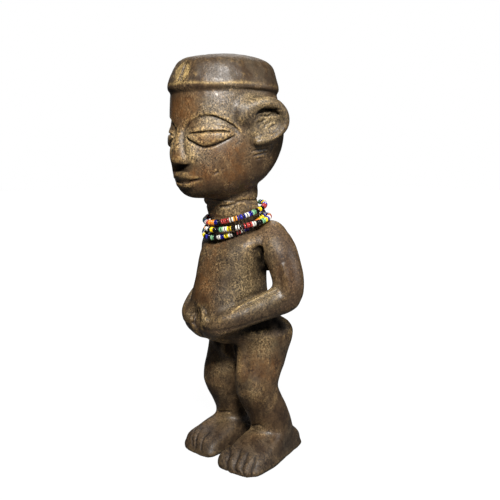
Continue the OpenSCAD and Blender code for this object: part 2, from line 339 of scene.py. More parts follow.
# shoulder: rises to the neck in a straight slope
chisel(egg((21.4, 15.4, 140.4), (7.0, 7.2, 7.8)), 5.0, add=True)
chisel(egg((17.0, 17.0, 142.8), (9.0, 5.6, 7.0)), 4.5, add=True)
# near foot: fuller towards the small toes
chisel(rod([(15.4, -14.8, 3.2, 4.2), (22, -15.0, 3.0, 4.2), (30.5, -13.6, 3.0, 3.8)]), 2.0, add=True, mirror=False)
chisel(egg((13.2, -12.0, 4.6), (4.8, 7.0, 4.6)), 4.5, add=True, mirror=False)
floor_cut = np.broadcast_to(-zs, SHAPE)
sdf = np.maximum(sdf, floor_cut).astype(np.float32)
del floor_cut

BAND = 3.6
band = np.flatnonzero(np.abs(sdf) < BAND)
bi, bj, bk = np.unravel_index(band, SHAPE)
X = (LOW[0] + bi * VOX).astype(np.float32)
Y = (LOW[1] + bj * VOX).astype(np.float32)
Z = (LOW[2] + bk * VOX).astype(np.float32)
S = sdf.reshape(-1)[band].copy()
del bi, bj, bk


# ------------------------------------------------------------------ carving tools
def seen(px, py):
    """The point of the figure, and its normal, at a place in the photograph's 500 x 500 frame."""
    d = (AHEAD * FOCAL + RIGHT * (px - 250) + UP * (250 - py)).normalized()
    p, n, _, _ = skin.ray_cast(EYE, d)
    if p is None:
        p, n, _, _ = skin.find_nearest(EYE + d * (Vector((0, 0, 120)) - EYE).length)
    return p, n


def cast(origin, direction):
    p, n, _, _ = skin.ray_cast(Vector(origin), Vector(direction).normalized())
    return p, n


def flip(pairs):
    return [(Vector((-p.x, p.y, p.z)), Vector((-n.x, n.y, n.z))) for p, n in pairs]


def dense(pairs, step=0.8):
    """A smooth line through the points, as many short steps."""
    if len(pairs) == 2:
        (p, n), (q, m) = pairs
        k = max(2, int((q - p).length / step))
        return [(p.lerp(q, i / k), n.lerp(m, i / k).normalized()) for i in range(k + 1)]
    out = []
    for i in range(len(pairs) - 1):
        p0, p1, p2, p3 = (pairs[min(max(i + j, 0), len(pairs) - 1)][0] for j in (-1, 0, 1, 2))
        n1, n2 = pairs[i][1], pairs[i + 1][1]
        k = max(2, int((p2 - p1).length / step))
        for j in range(k + (i == len(pairs) - 2)):
            t = j / k
            p = 0.5 * (
                2 * p1
                + (p2 - p0) * t
                + (2 * p0 - 5 * p1 + 4 * p2 - p3) * t * t
                + (3 * p1 - p0 - 3 * p2 + p3) * t * t * t
            )
            out.append((p, n1.lerp(n2, t).normalized()))
    return out


def stroke(pairs, width, depth, other=None, taper=0.25, reach=3.2, ends=(True, True)):
    """Cuts a line of that half width and depth into the surface; a negative depth raises a ridge.
    other is the half width on the right of the line's direction, seen from outside."""
    line = dense(pairs)
    w2 = other or width
    far = 2.6 * max(width, w2)
    pts = np.array([p for p, _ in line])
    lo, hi = pts.min(0) - far, pts.max(0) + far
    pick = np.flatnonzero(
        (X > lo[0]) & (X < hi[0]) & (Y > lo[1]) & (Y < hi[1]) & (Z > lo[2]) & (Z < hi[2])
    )
    if not len(pick):
        return
    P = np.stack([X[pick], Y[pick], Z[pick]], 1)
    best = np.full(len(pick), 1e9)
    along = np.zeros(len(pick))
    side = np.zeros(len(pick))
    n_seg = len(line) - 1
    for i in range(n_seg):
        a, b = np.array(line[i][0]), np.array(line[i + 1][0])
        n = np.array((line[i][1] + line[i + 1][1]).normalized())
        ab = b - a
        L2 = max(1e-9, ab @ ab)
        t = np.clip((P - a) @ ab / L2, 0, 1)
        v = P - a - t[:, None] * ab
        vn = v @ n
        d = (v * v).sum(1) - vn * vn + np.where(np.abs(vn) > reach, 1e6, 0)
        hit = d < best
        best[hit] = d[hit]
        along[hit] = (i + t[hit]) / n_seg
        s = np.cross(ab, n)
        side[hit] = np.sign(v[hit] @ s)
    d = np.sqrt(np.maximum(best, 0))
    w = np.where(side > 0, w2, width)
    fade = np.ones(len(pick))
    if taper:
        if ends[0]:
            fade = np.minimum(fade, along / taper)
        if ends[1]:
            fade = np.minimum(fade, (1 - along) / taper)
        fade = np.clip(fade, 0, 1) ** 0.6
    S[pick] += (depth * fade * np.exp(-((d / w) ** 2))).astype(np.float32)



def pair(pairs, width, depth, other=None, **k):
    """The same cut on both sides of the figure."""
    stroke(pairs, width, depth, other=other, **k)
    stroke(flip(pairs), other or width, depth, other=width if other else None, **k)


def swell(centre, radii, amount, mirror=False):
    """A soft rise, or with a negative amount a soft hollow."""
    for s in (1, -1) if mirror else (1,):
        d = ((X - s * centre[0]) / radii[0]) ** 2 + ((Y - centre[1]) / radii[1]) ** 2 + ((Z - centre[2]) / radii[2]) ** 2
        k = d < 6
        S[k] -= (amount * np.exp(-d[k])).astype(np.float32)


def marks(points):
    return [seen(*p) for p in points]


def framed(x, y, z):
    """Where points fall in the photograph's 500 x 500 frame."""
    v = [x - EYE.x, y - EYE.y, z - EYE.z]
    r, a, u = (sum(q * e for q, e in zip(v, axis)) for axis in (RIGHT, AHEAD, UP))
    return 250 + FOCAL * r / a, 250 - FOCAL * u / a


def depth_in(px, py, poly):
    """Distance inside a closed outline, negative outside."""
    best, inside = np.full(len(px), 1e9), np.zeros(len(px), bool)
    for (x0, y0), (x1, y1) in zip(poly, poly[1:] + poly[:1]):
        t = np.clip(((px - x0) * (x1 - x0) + (py - y0) * (y1 - y0)) / ((x1 - x0) ** 2 + (y1 - y0) ** 2), 0, 1)
        best = np.minimum(best, np.hypot(px - x0 - t * (x1 - x0), py - y0 - t * (y1 - y0)))
        cross = (y0 > py) != (y1 > py)
        inside ^= cross & (px < (x1 - x0) * (py - y0) / (y1 - y0 if y1 != y0 else 1e-9) + x0)
    return np.where(inside, best, -best)


# ------------------------------------------------------------------ the face
PHI = np.degrees(np.arctan2(np.abs(X), -(Y + 2.5)))
f = np.flatnonzero((PHI < 72) & (Z > 184) & (Z < 218) & (Y < 5))
phi, z = PHI[f], Z[f] + 0.25 * lump(X[f], Y[f], Z[f], 9, 3)
brow_z = np.interp(phi, [3, 8, 12, 17, 22, 26, 30, 34, 38, 42, 46, 50, 54, 58, 63, 67], [203.0, 205.6, 207.5, 209.3, 210.6, 211.2, 211.5, 211.5, 211.1, 210.3, 209.3, 208.2, 207.0, 205.6, 203.0, 200.5])
slit_z = np.interp(phi, [9, 14.5, 25, 35, 47, 52, 60], [200.2, 201.4, 201.9, 202.3, 202.5, 202.0, 200.9])
low_z = np.interp(phi, [9, 18, 26, 32, 38, 46, 58, 61], [199.9, 196.6, 194.1, 194.1, 195.1, 196.9, 200.4, 200.9])
lid_z = np.interp(phi, [9, 14, 25, 35, 45, 52, 60], [201.2, 203.6, 206.0, 206.4, 205.6, 204.0, 201.3])
far = np.where(X[f] < 0, 0.55, 1.0)
d = np.zeros(len(f))
w_brow = smooth(3, 9, phi) * (1 - smooth(57, 66, phi))
below = brow_z - z
d -= (1.05 + 0.6 * smooth(24, 36, phi)) * w_brow * smooth(-0.5 + 0.35 * smooth(24, 36, phi), 0.95 - 0.4 * smooth(24, 36, phi), below) * np.exp(-np.maximum(0, below - 0.6) / 5.5) * (1 - smooth(15, 19, below))
w_eye = smooth(9, 15, phi) * (1 - smooth(52, 61, phi))
t = np.clip((z - slit_z) / np.maximum(0.3, lid_z - slit_z), -1, 2)
d += w_eye * 1.15 * smooth(-0.02, 0.1, t) * np.clip(1 - t, 0, 1) ** 0.55
t = np.clip((z - low_z) / np.maximum(0.3, slit_z - low_z), -1, 2)
fill = np.clip((slit_z - low_z) / 3.0, 0, 1)
d += fill * 1.55 * smooth(8.5, 12, phi) * np.where((t > 0) & (t < 1), np.clip(1 - (2 * t - 1) ** 4, 0, 1) ** 0.8, 0)
d -= far * smooth(10, 13, phi) * (1 - smooth(50, 57, phi)) * 1.3 * np.exp(-(((z - slit_z) / 0.42) ** 2))
d -= far * smooth(9, 13, phi) * (1 - 0.75 * smooth(34, 52, phi)) * (1 - smooth(52, 58, phi)) * 0.9 * np.exp(-(((z - low_z + 0.35) / 0.5) ** 2))
d -= 0.5 * smooth(9, 16, phi) * (1 - smooth(46, 60, phi)) * np.exp(-np.maximum(0, low_z - z) / 3.0) * (z < low_z)
S[f] -= d.astype(np.float32)
del phi, z, brow_z, slit_z, low_z, lid_z, d, below, t, fill, w_brow, w_eye

# nose: sides and wings
for px, py, r in ((188.5, 143, 0.8), (190.5, 150, 1.3), (192.5, 157, 1.2)):
    p, _ = seen(px, py)
    swell((p.x, p.y, p.z), (3.4, 4, 5), r, mirror=True)
swell((5.0, -37.6, 186.4), (2.2, 2.6, 2.2), 0.45, mirror=True)
# mouth
mouth = marks([(181, 181.8), (186.7, 181.6), (192, 180.8), (199.4, 179.6), (203, 178.8)])
pair(mouth, 0.6, 1.0, taper=0.3, ends=(False, True))
# knife nicks on the cheek and below the ear
stroke(marks([(214, 174.6), (216.5, 172.6), (219, 171.6)]), 0.5, 0.6)
stroke(marks([(221, 169.6), (224, 168.4)]), 0.4, 0.35)
pair(marks([(251, 151.5), (258, 150.2), (268, 149)]), 0.5, 0.6)
pair(marks([(253, 156), (260, 154.4), (267.5, 152.6)]), 0.5, 0.6)
pair(marks([(255, 159.5), (262, 158)]), 0.4, 0.35)

# ear: the hollow is left rough from the gouge
k = np.flatnonzero((np.abs(X) > 29) & (np.abs(X) < 40) & (Z > 196) & (Z < 220) & (Y > -13) & (Y < 8))
S[k] += (
    (0.42 * lump(X[k], Y[k], Z[k], 2.3, 11) + 0.26 * lump(X[k], Y[k], Z[k], (1.3, 1.3, 3.0), 12))
    * smooth(0, 1, 1 - ((Y[k] + 2.5) / 9) ** 2) * smooth(0, 1, 1 - ((Z[k] - 207) / 9) ** 2)
).astype(np.float32)

for line, w, cut in (
    ([(257.6, 112.8), (261, 109.8), (265.6, 108.8), (271, 109.8), (275.4, 109), (279.6, 110.4)], 0.6, 1.0),
    ([(255.4, 119.6), (259, 116.6), (263, 115.6), (267, 116.4), (272, 114.6), (277.6, 115.8)], 0.6, 1.1),
    ([(258, 124), (263.6, 120.6), (269.4, 118)], 0.5, 0.6),
    ([(259.6, 129), (266, 124), (275, 119.4)], 0.5, 0.5),
    ([(262, 133), (269, 128), (277, 123)], 0.5, 0.5),
    ([(270, 113.6), (271.4, 118), (271, 122.4)], 0.5, 0.5),
):
    pair(marks(line), w, cut, taper=0.3, reach=6.5)

# cap: leaf of slanting cuts on the front
LEAF = [(186.4, 60.6), (189, 64.4), (190.4, 68.8), (187.4, 75.4), (181.4, 82.2), (177.4, 82.4), (174.9, 78), (176, 70.4), (180.6, 64.6)]
VEINS = [[(185.2, 62.2), (182, 70.6), (178.4, 80.4)], [(186.8, 62), (183.6, 71), (180.2, 81.2)]]
k = np.flatnonzero((Z > 227) & (Y < -10) & (0.74 * X - 0.67 * (Y + 4.5) > 8))
S[k] += (0.4 * smooth(-0.5, 0.6, depth_in(*framed(X[k], Y[k], Z[k]), LEAF))).astype(np.float32)
for line in VEINS:
    stroke(marks(line), 0.45, 0.9, taper=0.12)

# neck ring
k = np.flatnonzero((Z > 150) & (Z < 166) & (np.hypot(X, Y - 2) < 21))
S[k] -= (0.6 * smooth(152, 155, Z[k]) * (1 - smooth(160.2, 161.2, Z[k] + 0.16 * Y[k]))).astype(np.float32)
pair(marks([(206.5, 204.6), (214, 205), (230, 203), (246, 200.5), (258, 198)]), 0.6, 0.6, taper=0.1)

# ------------------------------------------------------------------ trunk, arms and hands
pair(marks([(238, 246), (236, 262), (233, 280), (229.5, 300)]), 4.5, 0.8, taper=0.3)
pair(marks([(267, 289.5), (257, 294.2), (246, 299.2), (235, 304.4)]), 1.1, 1.2, other=2.6, taper=0.2)
pair(marks([(277, 289), (268, 293.2), (258, 297.8), (247, 302.8), (235, 308.6)]), 0.7, -0.8, taper=0.2)
pair(marks([(202, 329), (228, 330), (252.5, 322.5), (279, 313.5)]), 1.2, 0.35, taper=0.2)
pair(marks([(282.4, 263), (285, 274), (286.4, 285), (286.4, 293.6), (283, 301)]), 1.8, -1.45, taper=0.35)
pair(marks([(277.8, 262), (280, 275), (281, 287)]), 2.4, 0.5, taper=0.4)
# hands: they meet on the middle of the belly, each with its thumb raised
stroke(marks([(202, 315.6), (201.6, 323), (201.8, 331)]), 1.9, -1.0, taper=0.35)
stroke(marks([(196.2, 305.6), (195.8, 312), (196, 320), (197, 328.6)]), 1.1, 1.2, taper=0.3)
stroke(marks([(199.8, 305.6), (202.6, 310), (205.2, 315), (205.2, 321)]), 0.9, -0.5, taper=0.4)
for line in ([(192.6, 306.6), (190.8, 314), (190, 321)], [(193.4, 313.6), (193.2, 320), (193.8, 326)]):
    stroke(marks(line), 0.7, -0.5, taper=0.4)
pair(marks([(207.6, 305.5), (206.8, 310), (206.4, 314.4)]), 1.4, 0.6, taper=0.4, ends=(True, False))
for x0 in (7.2, 10.4):
    stroke([cast((x0 + 0.25 * (zz - 86), -80, zz), (0, 1, 0)) for zz in (91.5, 88, 84.5)], 0.6, 0.25, taper=0.4)

# ------------------------------------------------------------------ toes and ankles
NEAR_TOES = (
    [(233.6, 444.5), (230.4, 452.4), (228.8, 463), (229.2, 470)],
    [(241.8, 449), (238, 459), (236.8, 468), (237.4, 474.6)],
    [(248.6, 452.6), (245.2, 460.6), (243.4, 469), (243.8, 476)],
    [(256, 455.6), (253.6, 463), (252, 470), (251.6, 476)],
)
FAR_TOES = (
    [(198.6, 426.6), (194.8, 432.6), (192.8, 438.4), (193, 445.6)],
    [(203.4, 428.2), (198.6, 434.4), (196, 441), (195.8, 447)],
    [(210, 432.4), (204, 438), (201.4, 443.6), (201.6, 450)],
)
for line in NEAR_TOES:
    stroke(marks(line), 0.9, 0.7, taper=0.4, ends=(True, False))
for line in FAR_TOES:
    stroke(marks(line), 0.8, 0.65, taper=0.4, ends=(True, False))
for line in (
    [(237.4, 449), (234, 456.6), (232.8, 465), (233.2, 470.6)],
    [(245, 452.6), (241.6, 460), (240, 469), (240.6, 474.6)],
    [(252, 455.6), (249.2, 462.6), (247.6, 470), (247.8, 475)],
):
    stroke(marks(line), 1.2, -0.4, taper=0.4, ends=(True, False))
stroke(marks([(194.4, 428.6), (190.6, 434), (189.2, 440)]), 0.7, 0.4, taper=0.4, ends=(True, False))
stroke(marks([(257.5, 341.4), (261.6, 339), (264, 335.6)]), 0.5, 0.3)
# the crest of the instep
stroke(marks([(253, 427), (243, 435.6), (234.4, 444)]), 1.6, -0.8, taper=0.3)
stroke(marks([(219, 415.5), (210, 421), (203, 425.6)]), 1.6, -0.5, taper=0.3)
pair(marks([(276, 391.5), (271.6, 401), (268.6, 413)]), 1.6, 0.5, other=3.0, taper=0.5, ends=(False, True))
stroke(marks([(250, 424), (256, 424.6), (264, 427)]), 0.7, 0.9)
stroke(marks([(219, 411.6), (225, 411.6), (232, 412)]), 0.7, 0.8)

# ------------------------------------------------------------------ the back
def behind(points):
    return [cast((x, 90, z), (0, -1, 0)) for x, z in points]


stroke(behind([(0, 146), (0, 132), (0, 118), (0, 104), (0, 94)]), 3.0, 0.9, taper=0.3)
stroke(behind([(0, 91), (0, 84), (0, 77), (0, 71)]), 1.3, 1.8, taper=0.25)
pair(behind([(3.5, 69.5), (9, 67.6), (15, 67.6), (21, 69.6)]), 1.2, 0.7, taper=0.3)
pair(behind([(8, 140), (12.6, 133), (13.4, 125)]), 1.6, 0.5, other=3.0, taper=0.4)
pair(behind([(10, 43.5), (16, 42.5), (22, 43.5)]), 1.3, 0.5, taper=0.4)

# ------------------------------------------------------------------ fuller and leaner places
swell((9, 25, 132), (7, 6, 9), 0.8, mirror=True)
swell((-6, -12, 251), (26, 24, 8), -2.2)
swell((-8, -37, 229), (12, 6, 7), 0.8)
swell((0, -31, 166), (14, 8, 5), 1.0)
swell((0, -45, 189), (7, 5, 6), -1.0)
swell((20, 25, 186), (14, 14, 20), -0.8, mirror=True)
swell((8, -10, 161), (9, 9, 7), 1.5, mirror=True)
swell((28, 15, 143), (8, 9, 6), 0.8, mirror=True)
swell((10, -15, 132), (11, 8, 22), 1.6, mirror=True)
swell((9, -27, 94), (7, 5, 8), -0.9, mirror=True)
swell((0, -17, 80), (13, 8, 5), 3.0)
swell((8, -14, 77), (8, 7, 4), 1.8, mirror=True)
swell((20, 32, 84), (12, 10, 10), 3.2, mirror=True)
swell((37, 17, 103), (8, 9, 12), 1.5, mirror=True)
swell((22, 27, 64), (9, 9, 10), -0.6, mirror=True)
swell((-14, -12, 72), (8, 8, 8), -2.6)
swell((21, -8, 46), (8, 8, 10), 0.7, mirror=True)
swell((22, -4, 15), (9, 14, 8), 1.0, mirror=True)
swell((-22, -14, 9), (7, 6, 4), 1.2)
swell((34, 5, 1), (5, 8, 5), 1.2, mirror=True)
swell((31, 14, 1), (5, 8, 5), 1.2, mirror=True)
swell((28, 23, 1), (5, 8, 5), 1.0, mirror=True)
swell((-9, -25, 98), (6, 5, 7), -1.2)
for px, py in ((223.6, 458), (221.6, 455.6)):
    p, _ = seen(px, py)
    swell((p.x, p.y, p.z), (3.2, 3.2, 2.6), 0.8)
# the soles tread a little outwards
S -= (1.3 * (1 - smooth(0, 7, Z))).astype(np.float32)

# ------------------------------------------------------------------ hand-cut unevenness
S += (0.16 * lump(X, Y, Z, (9, 9, 14), 5) + 0.07 * lump(X, Y, Z, 3.4, 6)).astype(np.float32) * smooth(0.4, 2.5, Z).astype(np.float32)
rng = np.random.default_rng(41)
for i in range(34):
    z = rng.uniform(12, 240)
    turn = rng.uniform(0, 2 * math.pi)
    p, n = cast((120 * math.sin(turn), -120 * math.cos(turn), z), (-math.sin(turn), math.cos(turn), rng.uniform(-0.05, 0.05)))
    if p is None or (Vector((p.x, p.y, 0)).length < 26 and 140 < z < 165) or (p.y < -24 and 165 < z < 216):
        continue
    tilt = rng.normal(1.2, 0.7)
    tang = n.cross(Vector((0, 0, 1)))
    if tang.length < 0.2:
        continue
    tang.normalize()
    up = n.cross(tang)
    step = (tang * math.cos(tilt) + up * math.sin(tilt)) * rng.uniform(1.0, 3.2)
    stroke([(p - step, n), (p + step, n)], rng.uniform(0.5, 0.9), rng.uniform(0.08, 0.2))

k = np.flatnonzero(Z > 230)
S[k] += (
    (0.32 * lump(X[k], Y[k], Z[k], (11, 11, 8), 21) + 0.16 * lump(X[k], Y[k], Z[k], (4.5, 4.5, 3.5), 22) + 0.08 * lump(X[k], Y[k], Z[k], 1.8, 23)) * smooth(230, 234, Z[k])
).astype(np.float32)
# room for the strands, which turn round the neck
for strand in ("upper", "middle", "lower"):
    C, N, F, L = (np.array(v) for v in ring_frame(strand))
    P = node_points(strand + "_thread") - C
    loop_r = float(np.median(np.hypot(P @ F, P @ L)))
    P = np.concatenate([node_points(n) for n in frame["nodes"] if n.startswith(strand) and n.endswith("_beads")]) - C
    room = 1.06 * np.hypot(np.hypot(P @ F, P @ L) - loop_r, P @ N).max() + 0.3
    k = np.flatnonzero((Z > 135) & (Z < 170))
    v = np.stack([X[k], Y[k], Z[k]], 1) - C
    h = v @ N
    d = np.hypot(np.hypot(v @ F, v @ L) - loop_r, h)
    S[k] = -merge(-S[k], (d - room).astype(np.float32), 0.6)

S = np.maximum(S, -Z)
sdf.reshape(-1)[band] = S
# ------------------------------------------------------------------ mesh of the figure
grid = vdb.FloatGrid(float(BAND))
grid.copyFromArray(np.clip(sdf, -BAND, BAND))
points, quads = grid.convertToQuads(0.0)
points = np.asarray(points, float)
quads = np.asarray(quads, np.int64)
world = LOW + points * VOX
world[:, 2] = np.maximum(world[:, 2], 0.0)
a, b, c = world[quads[:, 0]], world[quads[:, 1]], world[quads[:, 2]]
if np.einsum("ij,ij->i", a, np.cross(b, c)).sum() < 0:
    quads = quads[:, ::-1]


def mesh_from(name, co, faces):
    """A mesh from arrays; faces is one array of quads."""
    me = bpy.data.meshes.new(name)
    me.vertices.add(len(co))
    me.vertices.foreach_set("co", np.asarray(co, np.float32).reshape(-1))
    n = faces.shape[1]
    me.loops.add(len(faces) * n)
    me.loops.foreach_set("vertex_index", faces.astype(np.int32).reshape(-1))
    me.polygons.add(len(faces))
    me.polygons.foreach_set("loop_start", np.arange(0, len(faces) * n, n, dtype=np.int32))
    me.update(calc_edges=True)
    me.validate()
    return me


# only the one solid piece: loose crumbs are dropped
mark = np.arange(len(world))
ends = np.concatenate([quads[:, [0, 1]], quads[:, [1, 2]], quads[:, [2, 3]]])
for _ in range(200):
    low = np.minimum(mark[ends[:, 0]], mark[ends[:, 1]])
    was = mark.copy()
    np.minimum.at(mark, ends[:, 0], low)
    np.minimum.at(mark, ends[:, 1], low)
    mark = mark[mark]
    if (mark == was).all():
        break
main = np.bincount(mark).argmax()
print("loose crumbs dropped:", int((mark != main).sum()), "points")
quads = quads[mark[quads[:, 0]] == main]
kept, quads = np.unique(quads, return_inverse=True)
world, quads = world[kept], quads.reshape(-1, 4)
rough_mesh = mesh_from("figure_rough", world / 1000, quads)
figure = bpy.data.objects.new("figure_carving", rough_mesh)
scene.collection.objects.link(figure)
thin = figure.modifiers.new("thin", "DECIMATE")
thin.ratio = min(1.0, 184000 / (2 * len(quads)))
bpy.context.view_layer.update()
final_mesh = bpy.data.meshes.new_from_object(figure.evaluated_get(bpy.context.evaluated_depsgraph_get()))
figure.modifiers.clear()
figure.data = final_mesh
bpy.data.meshes.remove(rough_mesh)
final_mesh.name = "figure_carving"
final_mesh.polygons.foreach_set("use_smooth", np.ones(len(final_mesh.polygons), bool))

# ------------------------------------------------------------------ where the wood is rubbed, hollow or dusty, and where shade and highlights are painted
co = np.zeros(len(final_mesh.vertices) * 3)
final_mesh.vertices.foreach_get("co", co)
co = co.reshape(-1, 3) * 1000
at = (co - LOW) / VOX
step = max(1, int(round(1.0 / VOX)))
small = gauss(sdf, 0.9 / VOX)
tight = sample(small, at) - sample(sdf, at)
crude = sdf[::step, ::step, ::step]
broad = gauss(np.clip(crude, -BAND, BAND), 3.2 / (VOX * step))
wide = sample(broad, at / step) - sample(crude, at / step)
tight = np.clip(tight / 0.12, -1, 1)
wide = np.clip(wide / 1.1, -1, 1)
cx, cy, cz = co[:, 0], co[:, 1], co[:, 2]


def blots(spots):
    """Soft patches at places of the photograph, repeated on the far side of the figure."""
    out = np.zeros(len(co))
    for px, py, r, s in spots:
        p, _ = seen(px, py)
        for sx in (1, -1):
            d2 = (cx - sx * p.x) ** 2 + (cy - p.y) ** 2 + (cz - p.z) ** 2
            out = np.maximum(out, s * np.exp(-d2 / (r * r)))
    return out


rub = blots(
    [
        (184, 109, 8, 0.8), (210, 142, 7, 0.7), (236, 150, 9, 0.5),
        (196, 178, 7, 0.8), (205, 176, 7, 0.6), (234, 175, 8, 0.8), (178, 160, 5, 0.8), (212, 250, 9, 0.7), (209, 266, 8, 0.55),
        (208, 283, 9, 0.65), (205, 297, 7, 0.5), (283, 272, 8, 0.5),
        (255, 352, 14, 0.45), (240, 372, 10, 0.5), (272, 368, 10, 0.6), (250, 395, 9, 0.4), (262, 434, 9, 0.4),
    ]
)
# pale patches of dust; the patch on the near hip is a painted sheen and the one on the far thigh is painted light in
# its shade
dust_and_sheen = blots(
    [
        (270, 121, 7, 1.0), (262, 134, 6, 0.8), (247, 265, 12, 0.7), (244, 286, 11, 0.75), (233, 303, 7, 0.35), (268, 293, 7, 0.9),
        (203, 310, 3, 0.8), (205, 318, 4, 0.8), (222, 365, 8, 0.65), (253, 393, 5, 0.5), (262, 345, 9, 0.75), (230, 210, 10, 0.6), (208, 122, 8, 0.7), (222, 124, 8, 0.5), (224, 418, 7, 0.4), (262, 430, 6, 0.4), (252, 300, 8, 0.8), (246, 107, 5, 0.6), (251, 103.6, 5, 0.9), (257, 101, 5, 0.9), (263, 99, 5, 0.8), (187.6, 136, 4, 0.7), (189, 145, 5, 0.85), (190.6, 154, 5, 0.85),
    ]
)
# dust lies all round the neck, behind the beads
dust_and_sheen = np.maximum(dust_and_sheen, 0.75 * smooth(146, 150, cz) * (1 - smooth(164, 168, cz)) * smooth(0, 8, cy) * (np.hypot(cx, cy - 2) < 23))
dust_and_sheen = np.clip(dust_and_sheen + 0.25 * np.clip(-wide, 0, 1), 0, 1)
# painted shade: dark patches where shade falls, deepest in the armpits and under the chin, the forearms and the belly
painted_shade = blots(
    [
        (287, 116, 7, 0.5), (190, 193, 9, 0.5), (205, 195, 10, 0.5), (172, 86, 7, 0.4), (227, 262, 9, 0.55), (223, 281, 9, 0.55), (231, 249, 8, 0.5), (220, 298, 8, 0.5),
        (262, 111, 2.6, 0.9), (269, 109, 2.6, 0.9), (276, 112, 2.6, 0.9), (279, 120, 2.4, 0.8), (254, 128, 3, 0.5),
        (240, 320, 7, 0.38), (255, 312, 7, 0.4), (270, 305, 7, 0.4), (281, 240, 9, 0.3), (280, 262, 9, 0.22),  (246, 124, 6, 0.3),
        (246, 405, 8, 0.45), (242, 385, 7, 0.35), (255, 400, 8, 0.3), (284, 350, 5, 0.3), (214, 70, 9, 0.25), (204, 300, 6, 0.4), (196, 307, 3, 0.7), (195.8, 313, 2.2, 0.8), (196, 320, 2.2, 0.8), (197, 327, 2.4, 0.7), (189, 314, 5, 0.4), (188, 322, 5, 0.4), (189, 305, 5, 0.4),
        (275, 103, 5, 0.4), (284, 110, 5, 0.4), (285, 132, 5, 0.35), (250, 114, 5, 0.3),
        (258, 250, 5, 0.8), (261, 258, 6, 1.0), (263, 268, 6, 1.0), (250, 328, 8, 0.8), (262, 324, 8, 1.0), (274, 320, 8, 1.0), (222, 346, 7, 0.8), (232, 348, 7, 0.8),
        (217, 341.5, 4, 1.0), (224, 343, 4, 1.0), (231, 344, 4, 1.0), (236, 346, 4, 1.0), (225, 300, 5, 0.3), (206, 271, 5, 0.22), (215, 344.5, 5, 1.0), (222, 346, 5, 1.0), (228, 347, 5, 1.0), (234, 349, 5, 0.9), (256, 326, 8, 1.0), (268, 322, 8, 1.0), (280, 318, 7, 1.0), (246, 331, 6, 0.8), (286, 321, 5, 1.0), (278, 324, 5, 1.0), (268, 327, 5, 1.0), (257, 330, 5, 1.0), (248, 333, 4, 0.9), (240, 116, 7, 0.35), (182, 168, 4, 0.8), (245, 412, 8, 0.4), (240, 470, 9, 0.25), (200, 448, 9, 0.25),
    ]
)
keen = np.clip((tight - 0.32) / 0.55, 0, 1)
keen *= 0.25 + 0.75 * smooth(26, 40, cz)
keen *= 1 - smooth(222, 225, cz) * (1 - smooth(228.2, 229, cz))
keen *= 1 - 0.7 * smooth(233, 236, cz)
keen *= 1 - 0.6 * smooth(29, 33, np.abs(cx)) * smooth(192, 196, cz)
keen *= 0.6
qx, qy = framed(cx, cy, cz)
way = np.zeros(len(co) * 3, np.float32)
final_mesh.vertices.foreach_get("normal", way)
facing = smooth(0.12, 0.42, way.reshape(-1, 3) @ np.array((0.743, -0.669, 0.127)))
# a pale ochre line along the cap's rim and along the forearm's upper edge is a painted highlight; the leaf's pale lobes
# are its own colour
line_z = 229.5 - 1.0 * np.exp(-(((qx - 214) / 16) ** 2))
leaf_and_edge_highlight = np.exp(-(((cz - line_z) / 0.6) ** 2)) * smooth(2, -10, cy) * (np.hypot(cx, cy + 4.5) > 24) * (0.3 + 0.5 * smooth(-4, -22, cy))
leaf = smooth(-0.4, 0.5, depth_in(qx, qy, LEAF)) * (cz > 227) * (cy < -10) * (0.74 * cx - 0.67 * (cy + 4.5) > 8)
for line in VEINS:
    for (x0, y0), (x1, y1) in zip(line[:-1], line[1:]):
        t = np.clip(((qx - x0) * (x1 - x0) + (qy - y0) * (y1 - y0)) / ((x1 - x0) ** 2 + (y1 - y0) ** 2), 0, 1)
        leaf *= smooth(0.3, 0.85, np.hypot(qx - x0 - t * (x1 - x0), qy - y0 - t * (y1 - y0)))
leaf_and_edge_highlight = np.clip(0.8 * leaf_and_edge_highlight + 0.75 * leaf, 0, 1)
for (x0, y0), (x1, y1) in zip([(232.5, 312.6), (241, 304.6), (251, 299.8), (263, 294.2)], [(241, 304.6), (251, 299.8), (263, 294.2), (270, 290.4)]):
    t = np.clip(((qx - x0) * (x1 - x0) + (qy - y0) * (y1 - y0)) / ((x1 - x0) ** 2 + (y1 - y0) ** 2), 0, 1)
    leaf_and_edge_highlight = np.maximum(leaf_and_edge_highlight, 0.6 * (1 - smooth(0.3, 1.3, np.hypot(qx - x0 - t * (x1 - x0), qy - y0 - t * (y1 - y0)))) * (cx > 8) * (cy < 24) * facing)


def along(lines, wide):
    """1 on lines drawn in the photograph, falling to 0 at some pixels from them."""
    near = np.full(len(co), 99.0)
    for line in lines:
        for (x0, y0), (x1, y1) in zip(line[:-1], line[1:]):
            t = np.clip(((qx - x0) * (x1 - x0) + (qy - y0) * (y1 - y0)) / ((x1 - x0) ** 2 + (y1 - y0) ** 2), 0, 1)
            near = np.minimum(near, np.hypot(qx - x0 - t * (x1 - x0), qy - y0 - t * (y1 - y0)))
    return 1 - smooth(0.3, wide, near)


# painted shade along the toe grooves
painted_shade = np.maximum(painted_shade, 0.42 * along(NEAR_TOES, 1.5) * facing * (cx > 2) * (cz < 22))
painted_shade = np.maximum(painted_shade, 0.4 * along(FAR_TOES, 1.4) * facing * (cx < -2) * (cz < 22))
shine = blots([(286, 291, 6, 1.0), (287, 282, 5, 0.8), (284, 300, 5, 0.6), (233, 111, 6, 0.6), (262, 340, 5, 0.6), (256, 352, 6, 0.6), (254, 366, 6, 0.5), (243, 388, 6, 0.5)])
shine = shine - 0.6 * blots([(287, 248, 8, 1.0), (283, 238, 7, 0.8)]) - 1.2 * (1 - smooth(8, 16, cz)) - 1.6 * np.maximum(smooth(242, 246, cz), smooth(227, 230, cz) * (1 - smooth(-10, 4, cx)))
